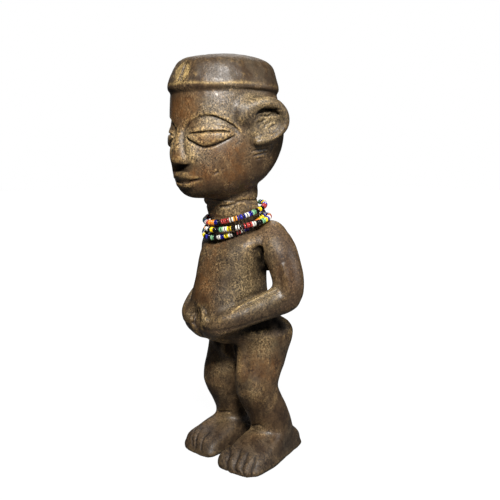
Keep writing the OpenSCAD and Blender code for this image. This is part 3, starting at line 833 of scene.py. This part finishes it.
# smooth dark skin, polished by hands
polish = blots(
    [
        (272, 231, 7, 0.7), (281, 236, 8, 0.9), (289, 246, 8, 1.0), (285, 258, 9, 1.0), (291, 270, 9, 1.0), (293, 284, 9, 1.0), (290, 298, 9, 1.0),
        (284, 307, 7, 1.0), (273, 312, 6, 1.0), (262, 316, 6, 1.0), (250, 320, 6, 1.0), (239, 324, 6, 1.0), (228, 328, 6, 0.9), (216, 331, 6, 0.8), (282, 274, 6, 0.8), (238, 462, 9, 0.55), (250, 466, 8, 0.55), (228, 456, 6, 0.5), (203, 440, 8, 0.45), (196, 436, 6, 0.45), (265, 455, 9, 0.4),
    ]
)


def stamp(me, name, values):
    me.attributes.new(name, "FLOAT", "POINT").data.foreach_set("value", np.asarray(values, np.float32))


stamp(final_mesh, "edge", 0.5 + 0.5 * tight)
stamp(final_mesh, "keen", keen * (1 - 0.9 * polish))
stamp(final_mesh, "painted_shade", painted_shade)
stamp(final_mesh, "rub", rub)
stamp(final_mesh, "dust_and_sheen", dust_and_sheen)
stamp(final_mesh, "cap", smooth(226, 232, cz) + 0.5 * (1 - smooth(12, 30, cz)))
stamp(final_mesh, "leaf_and_edge_highlight", leaf_and_edge_highlight)
stamp(final_mesh, "shine", shine)
stamp(final_mesh, "polish", polish)
stamp(final_mesh, "leg", 1 - smooth(66, 80, cz))


# ------------------------------------------------------------------ materials
class Nodes:
    """Short hand for building a node tree."""

    def __init__(self, name):
        self.m = bpy.data.materials.new(name)
        self.m.use_nodes = True
        self.t = self.m.node_tree
        self.t.nodes.clear()
        self.out = self.t.nodes.new("ShaderNodeOutputMaterial")
        self.s = self.t.nodes.new("ShaderNodeBsdfPrincipled")
        self.t.links.new(self.s.outputs[0], self.out.inputs[0])
        co = self.t.nodes.new("ShaderNodeTexCoord")
        self.co = co.outputs["Object"]

    def put(self, socket, value):
        if isinstance(value, bpy.types.NodeSocket):
            self.t.links.new(value, socket)
        else:
            socket.default_value = value

    def place(self, scale, turn=(0, 0, 0)):
        n = self.t.nodes.new("ShaderNodeMapping")
        n.inputs["Rotation"].default_value = turn
        n.inputs["Scale"].default_value = scale
        self.t.links.new(self.co, n.inputs["Vector"])
        return n.outputs[0]

    def noise(self, scale, detail=3.0, rough=0.55, warp=0.0, turn=(0, 0, 0)):
        n = self.t.nodes.new("ShaderNodeTexNoise")
        self.t.links.new(self.place(scale, turn), n.inputs["Vector"])
        n.inputs["Scale"].default_value = 1.0
        n.inputs["Detail"].default_value = detail
        n.inputs["Roughness"].default_value = rough
        n.inputs["Distortion"].default_value = warp
        return n.outputs[0]

    def cells(self, scale):
        n = self.t.nodes.new("ShaderNodeTexVoronoi")
        self.t.links.new(self.place(scale), n.inputs["Vector"])
        n.inputs["Scale"].default_value = 1.0
        return n.outputs["Distance"]

    def attr(self, name):
        n = self.t.nodes.new("ShaderNodeAttribute")
        n.attribute_name = name
        return n.outputs["Fac"]

    def ramp(self, value, a, b, lo=0.0, hi=1.0, kind="SMOOTHSTEP"):
        n = self.t.nodes.new("ShaderNodeMapRange")
        n.interpolation_type = kind
        self.put(n.inputs["Value"], value)
        n.inputs["From Min"].default_value = a
        n.inputs["From Max"].default_value = b
        n.inputs["To Min"].default_value = lo
        n.inputs["To Max"].default_value = hi
        return n.outputs["Result"]

    def math(self, op, a, b=0.0, clamp=False):
        n = self.t.nodes.new("ShaderNodeMath")
        n.operation = op
        n.use_clamp = clamp
        self.put(n.inputs[0], a)
        self.put(n.inputs[1], b)
        return n.outputs[0]

    def mix(self, fac, a, b, kind="MIX"):
        n = self.t.nodes.new("ShaderNodeMix")
        n.data_type = "RGBA"
        n.blend_type = kind
        n.clamp_factor = True
        self.put(n.inputs[0], fac)
        self.put(n.inputs[6], a)
        self.put(n.inputs[7], b)
        return n.outputs[2]

    def bump(self, height, strength, distance, normal=None):
        n = self.t.nodes.new("ShaderNodeBump")
        self.put(n.inputs["Strength"], strength)
        n.inputs["Distance"].default_value = distance
        self.put(n.inputs["Height"], height)
        if normal is not None:
            self.put(n.inputs["Normal"], normal)
        return n.outputs[0]


def rgb(r, g, b):
    """A colour given as 0 to 255 in sRGB."""
    return tuple((v / 12.92 if v <= 0.04045 else ((v + 0.055) / 1.055) ** 2.4) for v in (r / 255, g / 255, b / 255)) + (1.0,)


def wood():
    k = Nodes("carved_wood")
    cloud = k.noise((34, 34, 26), 2, 0.5, 0.3)
    blotch = k.noise((85, 85, 60), 4, 0.6, 0.4)
    patch = k.noise((210, 210, 170), 3, 0.6, 0.4, (0.5, 0.6, 0.3))
    mottle = k.noise((130, 130, 95), 4, 0.62, 0.6, (0.3, 0.8, 0.2))
    grain = k.noise((1100, 1100, 110), 4, 0.6, 0.2)
    fleck = k.noise((760, 760, 680), 3, 0.62, 0.5, (0.7, 0.5, 0.9))
    speck = k.noise((1250, 1250, 1150), 2, 0.65, 0.5, (0.4, 1.0, 0.6))
    edge, rub_a, dust_and_sheen_a, cap_a, keen_a, painted_shade_a, leaf_and_edge_highlight_a, shine_a, polish_a, leg_a = (k.attr(n) for n in ("edge", "rub", "dust_and_sheen", "cap", "keen", "painted_shade", "leaf_and_edge_highlight", "shine", "polish", "leg"))
    plain = k.math("SUBTRACT", 1.0, k.math("MAXIMUM", k.math("MULTIPLY", polish_a, 0.5), k.math("MULTIPLY", leg_a, 0.35)))

    base = k.mix(k.ramp(blotch, 0.36, 0.64), rgb(74, 56, 39), rgb(104, 83, 58))
    base = k.mix(k.ramp(cloud, 0.44, 0.62, 0.0, 0.7), base, rgb(82, 72, 57))
    base = k.mix(k.ramp(patch, 0.46, 0.68, 0.0, 0.75), base, rgb(56, 42, 30))
    base = k.mix(k.math("MULTIPLY", cap_a, 0.72), base, k.mix(k.ramp(mottle, 0.42, 0.6), rgb(68, 59, 48), rgb(52, 40, 29)))
    # rubbed wood: warmer where the dark skin has worn thin
    worn = k.math("MULTIPLY", rub_a, k.ramp(patch, 0.3, 0.62, 0.2, 1.0))
    base = k.mix(k.math("MULTIPLY", worn, 0.65), base, rgb(132, 86, 42))
    # the open grain holds pale dirt
    grainy = k.math("MULTIPLY", k.ramp(blotch, 0.42, 0.6, 0.15, 1.0), k.ramp(fleck, 0.55, 0.7))
    base = k.mix(k.math("MULTIPLY", grainy, k.math("MULTIPLY", k.math("MULTIPLY", k.math("SUBTRACT", 1.0, cap_a), plain), 0.4)), base, rgb(152, 128, 90))
    base = k.mix(k.ramp(grain, 0.52, 0.68, 0.0, 0.4), base, rgb(58, 43, 28))
    # smooth dark skin where hands hold it
    base = k.mix(k.math("MULTIPLY", polish_a, k.ramp(patch, 0.35, 0.62, 0.88, 0.55)), base, k.mix(k.ramp(blotch, 0.4, 0.62), rgb(63, 48, 37), rgb(90, 70, 54)))
    base = k.mix(k.math("MULTIPLY", polish_a, k.ramp(fleck, 0.47, 0.32, 0.0, 0.6)), base, rgb(38, 28, 22))
    base = k.mix(k.math("MULTIPLY", polish_a, k.ramp(speck, 0.55, 0.7, 0.0, 0.5)), base, rgb(140, 112, 84))
    # dark stains down the legs
    stain = k.math("MULTIPLY", leg_a, k.math("MULTIPLY", k.ramp(mottle, 0.46, 0.6), k.ramp(fleck, 0.3, 0.6, 1.0, 0.6)))
    base = k.mix(k.math("MULTIPLY", stain, 0.75), base, rgb(40, 29, 21))
    # edges worn to a paler ochre
    keen = k.math("MULTIPLY", keen_a, k.ramp(fleck, 0.36, 0.62))
    base = k.mix(k.math("MULTIPLY", keen, 0.8), base, rgb(178, 146, 94))
    # painted highlight along the cap's rim and the forearm's upper edge, and the leaf's own pale colour
    base = k.mix(k.math("MULTIPLY", leaf_and_edge_highlight_a, k.math("MULTIPLY", k.ramp(fleck, 0.3, 0.6, 0.5, 1.0), k.ramp(blotch, 0.36, 0.6, 0.45, 1.0))), base, rgb(186, 158, 104))
    # pale dust in the sheltered places, and the same pale colour as a painted sheen on the near hip and as painted
    # light on the shaded far thigh
    pale_dust_and_sheen = k.math("MULTIPLY", dust_and_sheen_a, k.ramp(fleck, 0.32, 0.62, 0.3, 1.0))
    base = k.mix(k.math("MULTIPLY", pale_dust_and_sheen, 0.7), base, rgb(150, 130, 92))
    # darker colour in the concave cuts
    pit = k.math("MULTIPLY", k.ramp(edge, 0.34, 0.02), 0.5)
    base = k.mix(pit, base, rgb(34, 24, 15))
    # painted shade, near black, in the deep places and under the overhangs
    base = k.mix(painted_shade_a, base, rgb(9, 7, 5))
    # pores and specks: open where dirt lies, closed where hands have polished the wood
    coarse = k.math("ADD", k.math("MULTIPLY", dust_and_sheen_a, 0.9), k.math("MULTIPLY", k.ramp(blotch, 0.44, 0.6), k.math("SUBTRACT", 0.62, k.math("MULTIPLY", cap_a, 0.22))))
    coarse = k.math("MULTIPLY", k.math("ADD", coarse, 0.28, clamp=True), plain)
    base = k.mix(coarse, base, k.ramp(speck, 0.34, 0.66, 0.1, 1.9, "LINEAR"), "MULTIPLY")
    base = k.mix(k.math("ADD", k.math("MULTIPLY", coarse, 0.7), 0.3), base, k.ramp(fleck, 0.3, 0.7, 0.62, 1.38, "LINEAR"), "MULTIPLY")
    k.put(k.s.inputs["Base Color"], base)
    gloss = k.ramp(blotch, 0.3, 0.7, 0.33, 0.44)
    gloss = k.math("ADD", gloss, k.math("MULTIPLY", pale_dust_and_sheen, 0.3))
    gloss = k.math("SUBTRACT", gloss, k.math("MULTIPLY", shine_a, 0.12))
    gloss = k.math("SUBTRACT", gloss, k.math("MULTIPLY", polish_a, 0.03))
    gloss = k.math("ADD", gloss, k.math("MULTIPLY", painted_shade_a, 0.4))
    gloss = k.math("ADD", gloss, k.ramp(speck, 0.35, 0.65, 0.07, -0.05), clamp=True)
    k.put(k.s.inputs["Roughness"], gloss)
    k.s.inputs["IOR"].default_value = 1.5
    k.put(k.s.inputs["Specular IOR Level"], k.math("SUBTRACT", 0.5, k.math("MULTIPLY", painted_shade_a, 0.45)))
    n = k.bump(grain, 0.3, 0.0003)
    n = k.bump(speck, k.math("MULTIPLY", coarse, 0.6), 0.0004, n)
    n = k.bump(fleck, k.math("ADD", k.math("MULTIPLY", coarse, 0.4), 0.08), 0.0004, n)
    k.put(k.s.inputs["Normal"], n)
    return k.m


def glass(name, light, dark, gloss):
    k = Nodes("bead_" + name)
    tone, swirl = k.attr("tone"), k.noise((900, 900, 900), 3, 0.6, 0.6)
    fine_n = k.noise((3800, 3800, 3800), 2, 0.6)
    c = k.mix(k.ramp(tone, 0.0, 1.0), dark, light)
    c = k.mix(k.ramp(swirl, 0.45, 0.75, 0.0, 0.35), c, dark)
    # painted shade inside the bead holes
    c = k.mix(k.ramp(k.attr("bore_shade"), 0.0, 1.0, 0.0, 0.75), c, rgb(22, 17, 12))
    k.put(k.s.inputs["Base Color"], c)
    k.put(k.s.inputs["Roughness"], k.math("ADD", k.ramp(swirl, 0.3, 0.7, gloss, gloss + 0.12), k.ramp(fine_n, 0.3, 0.7, -0.03, 0.05), clamp=True))
    k.s.inputs["IOR"].default_value = 1.52
    k.put(k.s.inputs["Normal"], k.bump(fine_n, 0.12, 0.00006))
    return k.m


def cotton():
    k = Nodes("thread_cotton")
    fuzz, long = k.noise((9000, 9000, 9000), 2, 0.7), k.noise((700, 700, 700), 3, 0.6)
    c = k.mix(k.ramp(long, 0.35, 0.65), rgb(30, 26, 22), rgb(52, 45, 38))
    c = k.mix(k.ramp(fuzz, 0.5, 0.7, 0.0, 0.5), c, rgb(92, 82, 70))
    k.put(k.s.inputs["Base Color"], c)
    k.put(k.s.inputs["Roughness"], k.ramp(fuzz, 0.3, 0.7, 0.8, 0.95))
    k.put(k.s.inputs["Normal"], k.bump(fuzz, 0.5, 0.00005))
    return k.m


final_mesh.materials.clear()
final_mesh.materials.append(wood())
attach(figure, "figure")
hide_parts("carved_figure")

# ------------------------------------------------------------------ bead strands
GLASS = {
    "white": glass("white", rgb(240, 238, 232), rgb(205, 200, 188), 0.16),
    "yellow": glass("yellow", rgb(244, 226, 40), rgb(214, 176, 22), 0.16),
    "red": glass("red", rgb(182, 66, 62), rgb(140, 40, 40), 0.16),
    "blue": glass("blue", rgb(52, 52, 170), rgb(28, 28, 112), 0.14),
    "green": glass("green", rgb(150, 200, 156), rgb(92, 150, 104), 0.16),
    "black": glass("black", rgb(26, 25, 28), rgb(12, 12, 13), 0.10),
    "orange": glass("orange", rgb(240, 160, 60), rgb(206, 112, 34), 0.16),
}
COTTON = cotton()
rng = np.random.default_rng(23)
for strand in ("upper", "middle", "lower"):
    centre, axis, front, left = ring_frame(strand)
    C, N, F, L = (np.array(v) for v in (centre, axis, front, left))
    for colour in GLASS:
        node = f"{strand}_{colour}_beads"
        if node not in frame["nodes"]:
            continue
        P = node_points(node) - C
        ang = np.degrees(np.arctan2(P @ L, P @ F))
        order = np.argsort(ang)
        cut = np.flatnonzero(np.diff(ang[order]) > 0.4) + 1
        groups = np.split(order, cut)
        if len(groups) > 1 and ang[groups[0][0]] + 360 - ang[groups[-1][-1]] < 0.4:
            groups[0] = np.concatenate([groups[-1], groups[0]])
            groups.pop()
        verts, faces, tone, bore_shade = [], [], [], []
        for g in groups:
            a = ang[g]
            a = np.where(a < a[0] - 180, a + 360, np.where(a > a[0] + 180, a - 360, a))
            mid_a = math.radians((a.min() + a.max()) / 2)
            out = F * math.cos(mid_a) + L * math.sin(mid_a)
            run = -F * math.sin(mid_a) + L * math.cos(mid_a)
            rad = P[g] @ out
            ring_r = (rad.min() + rad.max()) / 2
            high = P[g] @ N
            r = (high.max() - high.min()) / 2 * 1.05
            half_l = np.abs(P[g] @ run).max() + 0.13
            # one bead: a rounded ring, a little uneven, as cut and tumbled glass is
            hole = 0.52
            soft_end = rng.uniform(0.42, 0.7)
            lean = rng.normal(0, 0.05, 2)
            skew = rng.normal(0, 0.05)
            seg, prof = 22, 12
            base = len(verts) * 0 + sum(len(v) for v in verts)
            ring = []
            for q in range(prof):
                th = 2 * math.pi * q / prof
                e = 2 / (2.2 + 1.8 * (1 - soft_end))
                u = math.copysign(abs(math.cos(th)) ** e, math.cos(th))
                v = math.copysign(abs(math.sin(th)) ** e, math.sin(th))
                ring.append((u * half_l, (r + hole) / 2 + v * (r - hole) / 2))
            pts = []
            wob = rng.normal(0, 0.02, 3)
            for s in range(seg):
                al = 2 * math.pi * s / seg
                dirv = out * math.cos(al) + N * math.sin(al)
                oval = 1 + wob[0] * math.cos(2 * al) + wob[1] * math.sin(2 * al)
                for u, w in ring:
                    grow = 1 + skew * u / half_l
                    ww = w if w < hole * 1.2 else w * oval * grow
                    ww = min(ww, r * 1.01)
                    uu = u + w * (lean[0] * math.cos(al) + lean[1] * math.sin(al))
                    pts.append(C + out * ring_r + run * uu + dirv * ww)
            verts.append(np.array(pts))
            tone.append(np.full(len(pts), rng.uniform(0, 1)))
            # the vertices of the hole are marked for painted shade
            bore_shade.append(np.array([1.0 if w < hole * 1.35 else 0.0 for _ in range(seg) for _, w in ring]))
            i = np.arange(seg)[:, None] * prof
            i2 = ((np.arange(seg) + 1) % seg)[:, None] * prof
            q = np.arange(prof)[None, :]
            q2 = (q + 1) % prof
            faces.append(np.stack([i + q, i + q2, i2 + q2, i2 + q], -1).reshape(-1, 4) + base)
        V, Q = np.concatenate(verts), np.concatenate(faces)
        a, b, c = (V[Q[:, k]] - V[Q[:, 0]].mean(0) for k in (0, 1, 2))
        if np.einsum("ij,ij->i", a, np.cross(b, c)).sum() < 0:
            Q = Q[:, ::-1]
        me = mesh_from(f"{strand}_{colour}_glass", V / 1000, Q)
        me.polygons.foreach_set("use_smooth", np.ones(len(me.polygons), bool))
        stamp(me, "tone", np.concatenate(tone))
        stamp(me, "bore_shade", np.concatenate(bore_shade))
        me.materials.append(GLASS[colour])
        beads = bpy.data.objects.new(f"{strand}_{colour}_glass", me)
        scene.collection.objects.link(beads)
        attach(beads, f"{strand}_bead_run")
        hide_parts(node)

    # the thread: two plies twisted, closed by a knot at the nape with two short ends
    P = node_points(f"{strand}_thread") - C
    flat = np.hypot(P @ F, P @ L)
    loop_r = float(np.median(flat))
    thick = np.hypot(P @ N, flat - loop_r) > 0.6
    knot_a = math.atan2(*((v.min() + v.max()) / 2 for v in (P[thick] @ L, P[thick] @ F)))
    verts, faces, count = [], [], 0

    def tube(path, radius, sides=6, closed=True):
        """A round strand along the points of path."""
        global count
        path = np.asarray(path, float)
        n = len(path)
        tan = np.roll(path, -1, 0) - np.roll(path, 1, 0)
        if not closed:
            tan[0], tan[-1] = path[1] - path[0], path[-1] - path[-2]
        tan /= np.linalg.norm(tan, axis=1)[:, None]
        ref = np.cross(tan, N)
        bad = np.linalg.norm(ref, axis=1) < 0.1
        ref[bad] = np.cross(tan[bad], F)
        ref /= np.linalg.norm(ref, axis=1)[:, None]
        bi = np.cross(tan, ref)
        r = np.broadcast_to(np.asarray(radius, float), (n,))
        al = 2 * np.pi * np.arange(sides) / sides
        p = path[:, None, :] + r[:, None, None] * (np.cos(al)[None, :, None] * ref[:, None, :] + np.sin(al)[None, :, None] * bi[:, None, :])
        verts.append(p.reshape(-1, 3))
        m = n if closed else n - 1
        i = np.arange(m)[:, None] * sides
        i2 = ((np.arange(m) + 1) % n)[:, None] * sides
        q = np.arange(sides)[None, :]
        q2 = (q + 1) % sides
        faces.append(np.stack([i + q, i2 + q, i2 + q2, i + q2], -1).reshape(-1, 4) + count)
        if not closed:
            for e, first in ((0, count), (n - 1, count + (n - 1) * sides)):
                verts.append(path[e : e + 1] + (-0.06 if e == 0 else 0.06) * tan[e : e + 1])
                c = count + n * sides + (e > 0)
                fan = [(first + j, first + (j + 1), first + (j + 2) % sides, c) for j in range(0, sides, 2)]
                faces.append(np.array(fan)[:, :: 1 if e == 0 else -1])
            count += 2
        count += n * sides

    turns = 72
    n = turns * 8
    th = 2 * np.pi * np.arange(n) / n
    for ply in (0, np.pi):
        tw = turns * th + ply
        rad = loop_r + 0.14 * np.cos(tw)
        tube(C + (np.cos(th) * rad)[:, None] * F + (np.sin(th) * rad)[:, None] * L + (0.14 * np.sin(tw))[:, None] * N, 0.165)
    kf = F * math.cos(knot_a) + L * math.sin(knot_a)
    kr = -F * math.sin(knot_a) + L * math.cos(knot_a)
    kc = C + kf * loop_r
    s = np.linspace(0, 2 * np.pi, 96, endpoint=False)
    knot = (
        kc
        + (0.42 * (np.sin(s) + 2 * np.sin(2 * s)) * 0.36)[:, None] * kr
        + (0.42 * (np.cos(s) - 2 * np.cos(2 * s)) * 0.36)[:, None] * kf
        + (0.34 * -np.sin(3 * s))[:, None] * N
    )
    tube(knot, 0.24, 8)
    for sx in (1, -1):
        u = np.linspace(0, 1, 14)
        tail = kc + (sx * (0.12 + 0.26 * u))[:, None] * kr + (0.3 + 1.2 * u - 0.4 * u * u)[:, None] * kf + (-0.15 - 1.3 * u * u - 0.35 * u - 0.15 * sx * u)[:, None] * N
        tube(tail, np.where(u > 0.93, 0.12, 0.2), 8, closed=False)
    me = mesh_from(f"{strand}_cord", np.concatenate(verts) / 1000, np.concatenate(faces))
    me.polygons.foreach_set("use_smooth", np.ones(len(me.polygons), bool))
    me.materials.append(COTTON)
    cord = bpy.data.objects.new(f"{strand}_cord", me)
    scene.collection.objects.link(cord)
    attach(cord, f"{strand}_loop")
    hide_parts(f"{strand}_thread")

# ------------------------------------------------------------------ floor, world and lights
floor_mat = Nodes("pale_floor")
ft = floor_mat.t
floor_mat.put(floor_mat.s.inputs["Base Color"], floor_mat.mix(floor_mat.noise((9, 9, 9), 3), rgb(62, 62, 61), rgb(70, 70, 69)))
floor_mat.s.inputs["Roughness"].default_value = 0.9
floor_mat.s.inputs["Specular IOR Level"].default_value = 0.1
# the camera sees the floor as a lit white sweep, which the lamps alone would leave grey far away
length = ft.nodes.new("ShaderNodeVectorMath")
length.operation = "LENGTH"
ft.links.new(floor_mat.co, length.inputs[0])
glow = ft.nodes.new("ShaderNodeEmission")
glow.inputs["Color"].default_value = (1, 1, 1, 1)
ft.links.new(floor_mat.ramp(length.outputs["Value"], 0.1, 0.5, 0.975, 1.05), glow.inputs["Strength"])
both = ft.nodes.new("ShaderNodeAddShader")
ft.links.new(floor_mat.s.outputs[0], both.inputs[0])
ft.links.new(glow.outputs[0], both.inputs[1])
pick_ray = ft.nodes.new("ShaderNodeMixShader")
ray = ft.nodes.new("ShaderNodeLightPath")
ft.links.new(ray.outputs["Is Camera Ray"], pick_ray.inputs[0])
dull = ft.nodes.new("ShaderNodeBsdfDiffuse")
dull.inputs["Color"].default_value = (0.12, 0.12, 0.12, 1)
ft.links.new(dull.outputs[0], pick_ray.inputs[1])
ft.links.new(both.outputs[0], pick_ray.inputs[2])
ft.links.new(pick_ray.outputs[0], floor_mat.out.inputs[0])
n = 24
gx = np.linspace(-4, 4, n)
fv = np.array([(x, y, -0.0002) for y in gx for x in gx])
fi = np.array([(j * n + i, j * n + i + 1, (j + 1) * n + i + 1, (j + 1) * n + i) for j in range(n - 1) for i in range(n - 1)])
floor_me = mesh_from("floor", fv, fi)
floor_me.materials.append(floor_mat.m)
floor = bpy.data.objects.new("floor", floor_me)
scene.collection.objects.link(floor)

world_data = bpy.data.worlds.new("studio")
scene.world = world_data
world_data.use_nodes = True
wt = world_data.node_tree
wt.nodes.clear()
w_out = wt.nodes.new("ShaderNodeOutputWorld")
w_mix = wt.nodes.new("ShaderNodeMixShader")
w_path = wt.nodes.new("ShaderNodeLightPath")
w_dim, w_bright = wt.nodes.new("ShaderNodeBackground"), wt.nodes.new("ShaderNodeBackground")
w_dim.inputs["Color"].default_value = (1, 0.99, 0.97, 1)
w_dim.inputs["Strength"].default_value = 0.015
w_bright.inputs["Color"].default_value = (1, 1, 1, 1)
w_bright.inputs["Strength"].default_value = 1.0
wt.links.new(w_path.outputs["Is Camera Ray"], w_mix.inputs[0])
wt.links.new(w_dim.outputs[0], w_mix.inputs[1])
wt.links.new(w_bright.outputs[0], w_mix.inputs[2])
wt.links.new(w_mix.outputs[0], w_out.inputs[0])


def lamp(name, place, target, size, power, colour=(1, 1, 1)):
    data = bpy.data.lights.new(name, "AREA")
    data.shape = "DISK"
    data.size = size
    data.energy = power
    data.color = colour
    o = bpy.data.objects.new(name, data)
    scene.collection.objects.link(o)
    o.location = place
    o.rotation_euler = (Vector(target) - Vector(place)).to_track_quat("-Z", "Y").to_euler()
    return o


toward = Vector((math.sin(AZ), -math.cos(AZ), 0))
side = Vector((math.cos(AZ), math.sin(AZ), 0))
aim = (toward * math.cos(math.radians(3)) + side * math.sin(math.radians(3))) * 0.43
lamp("key", Vector((0, 0, 0.48)) + aim, (0, 0, 0.21), 0.14, 5.6, (1, 0.98, 0.95))
lamp("fill", Vector((0, 0, 0.30)) + toward * 0.10 + side * 0.55, (0, 0, 0.15), 0.3, 0.7, (0.95, 0.98, 1))
lamp("back", Vector((0, 0, 0.66)) - toward * 0.50, (0, 0, 0.13), 0.4, 1.2, (1, 0.99, 0.97))
lamp("far_side", (-0.52, 0.24, 0.36), (0, 0, 0.13), 0.4, 0.25, (1, 0.99, 0.97))
scene.view_settings.view_transform = "Standard"
scene.view_settings.look = "None"
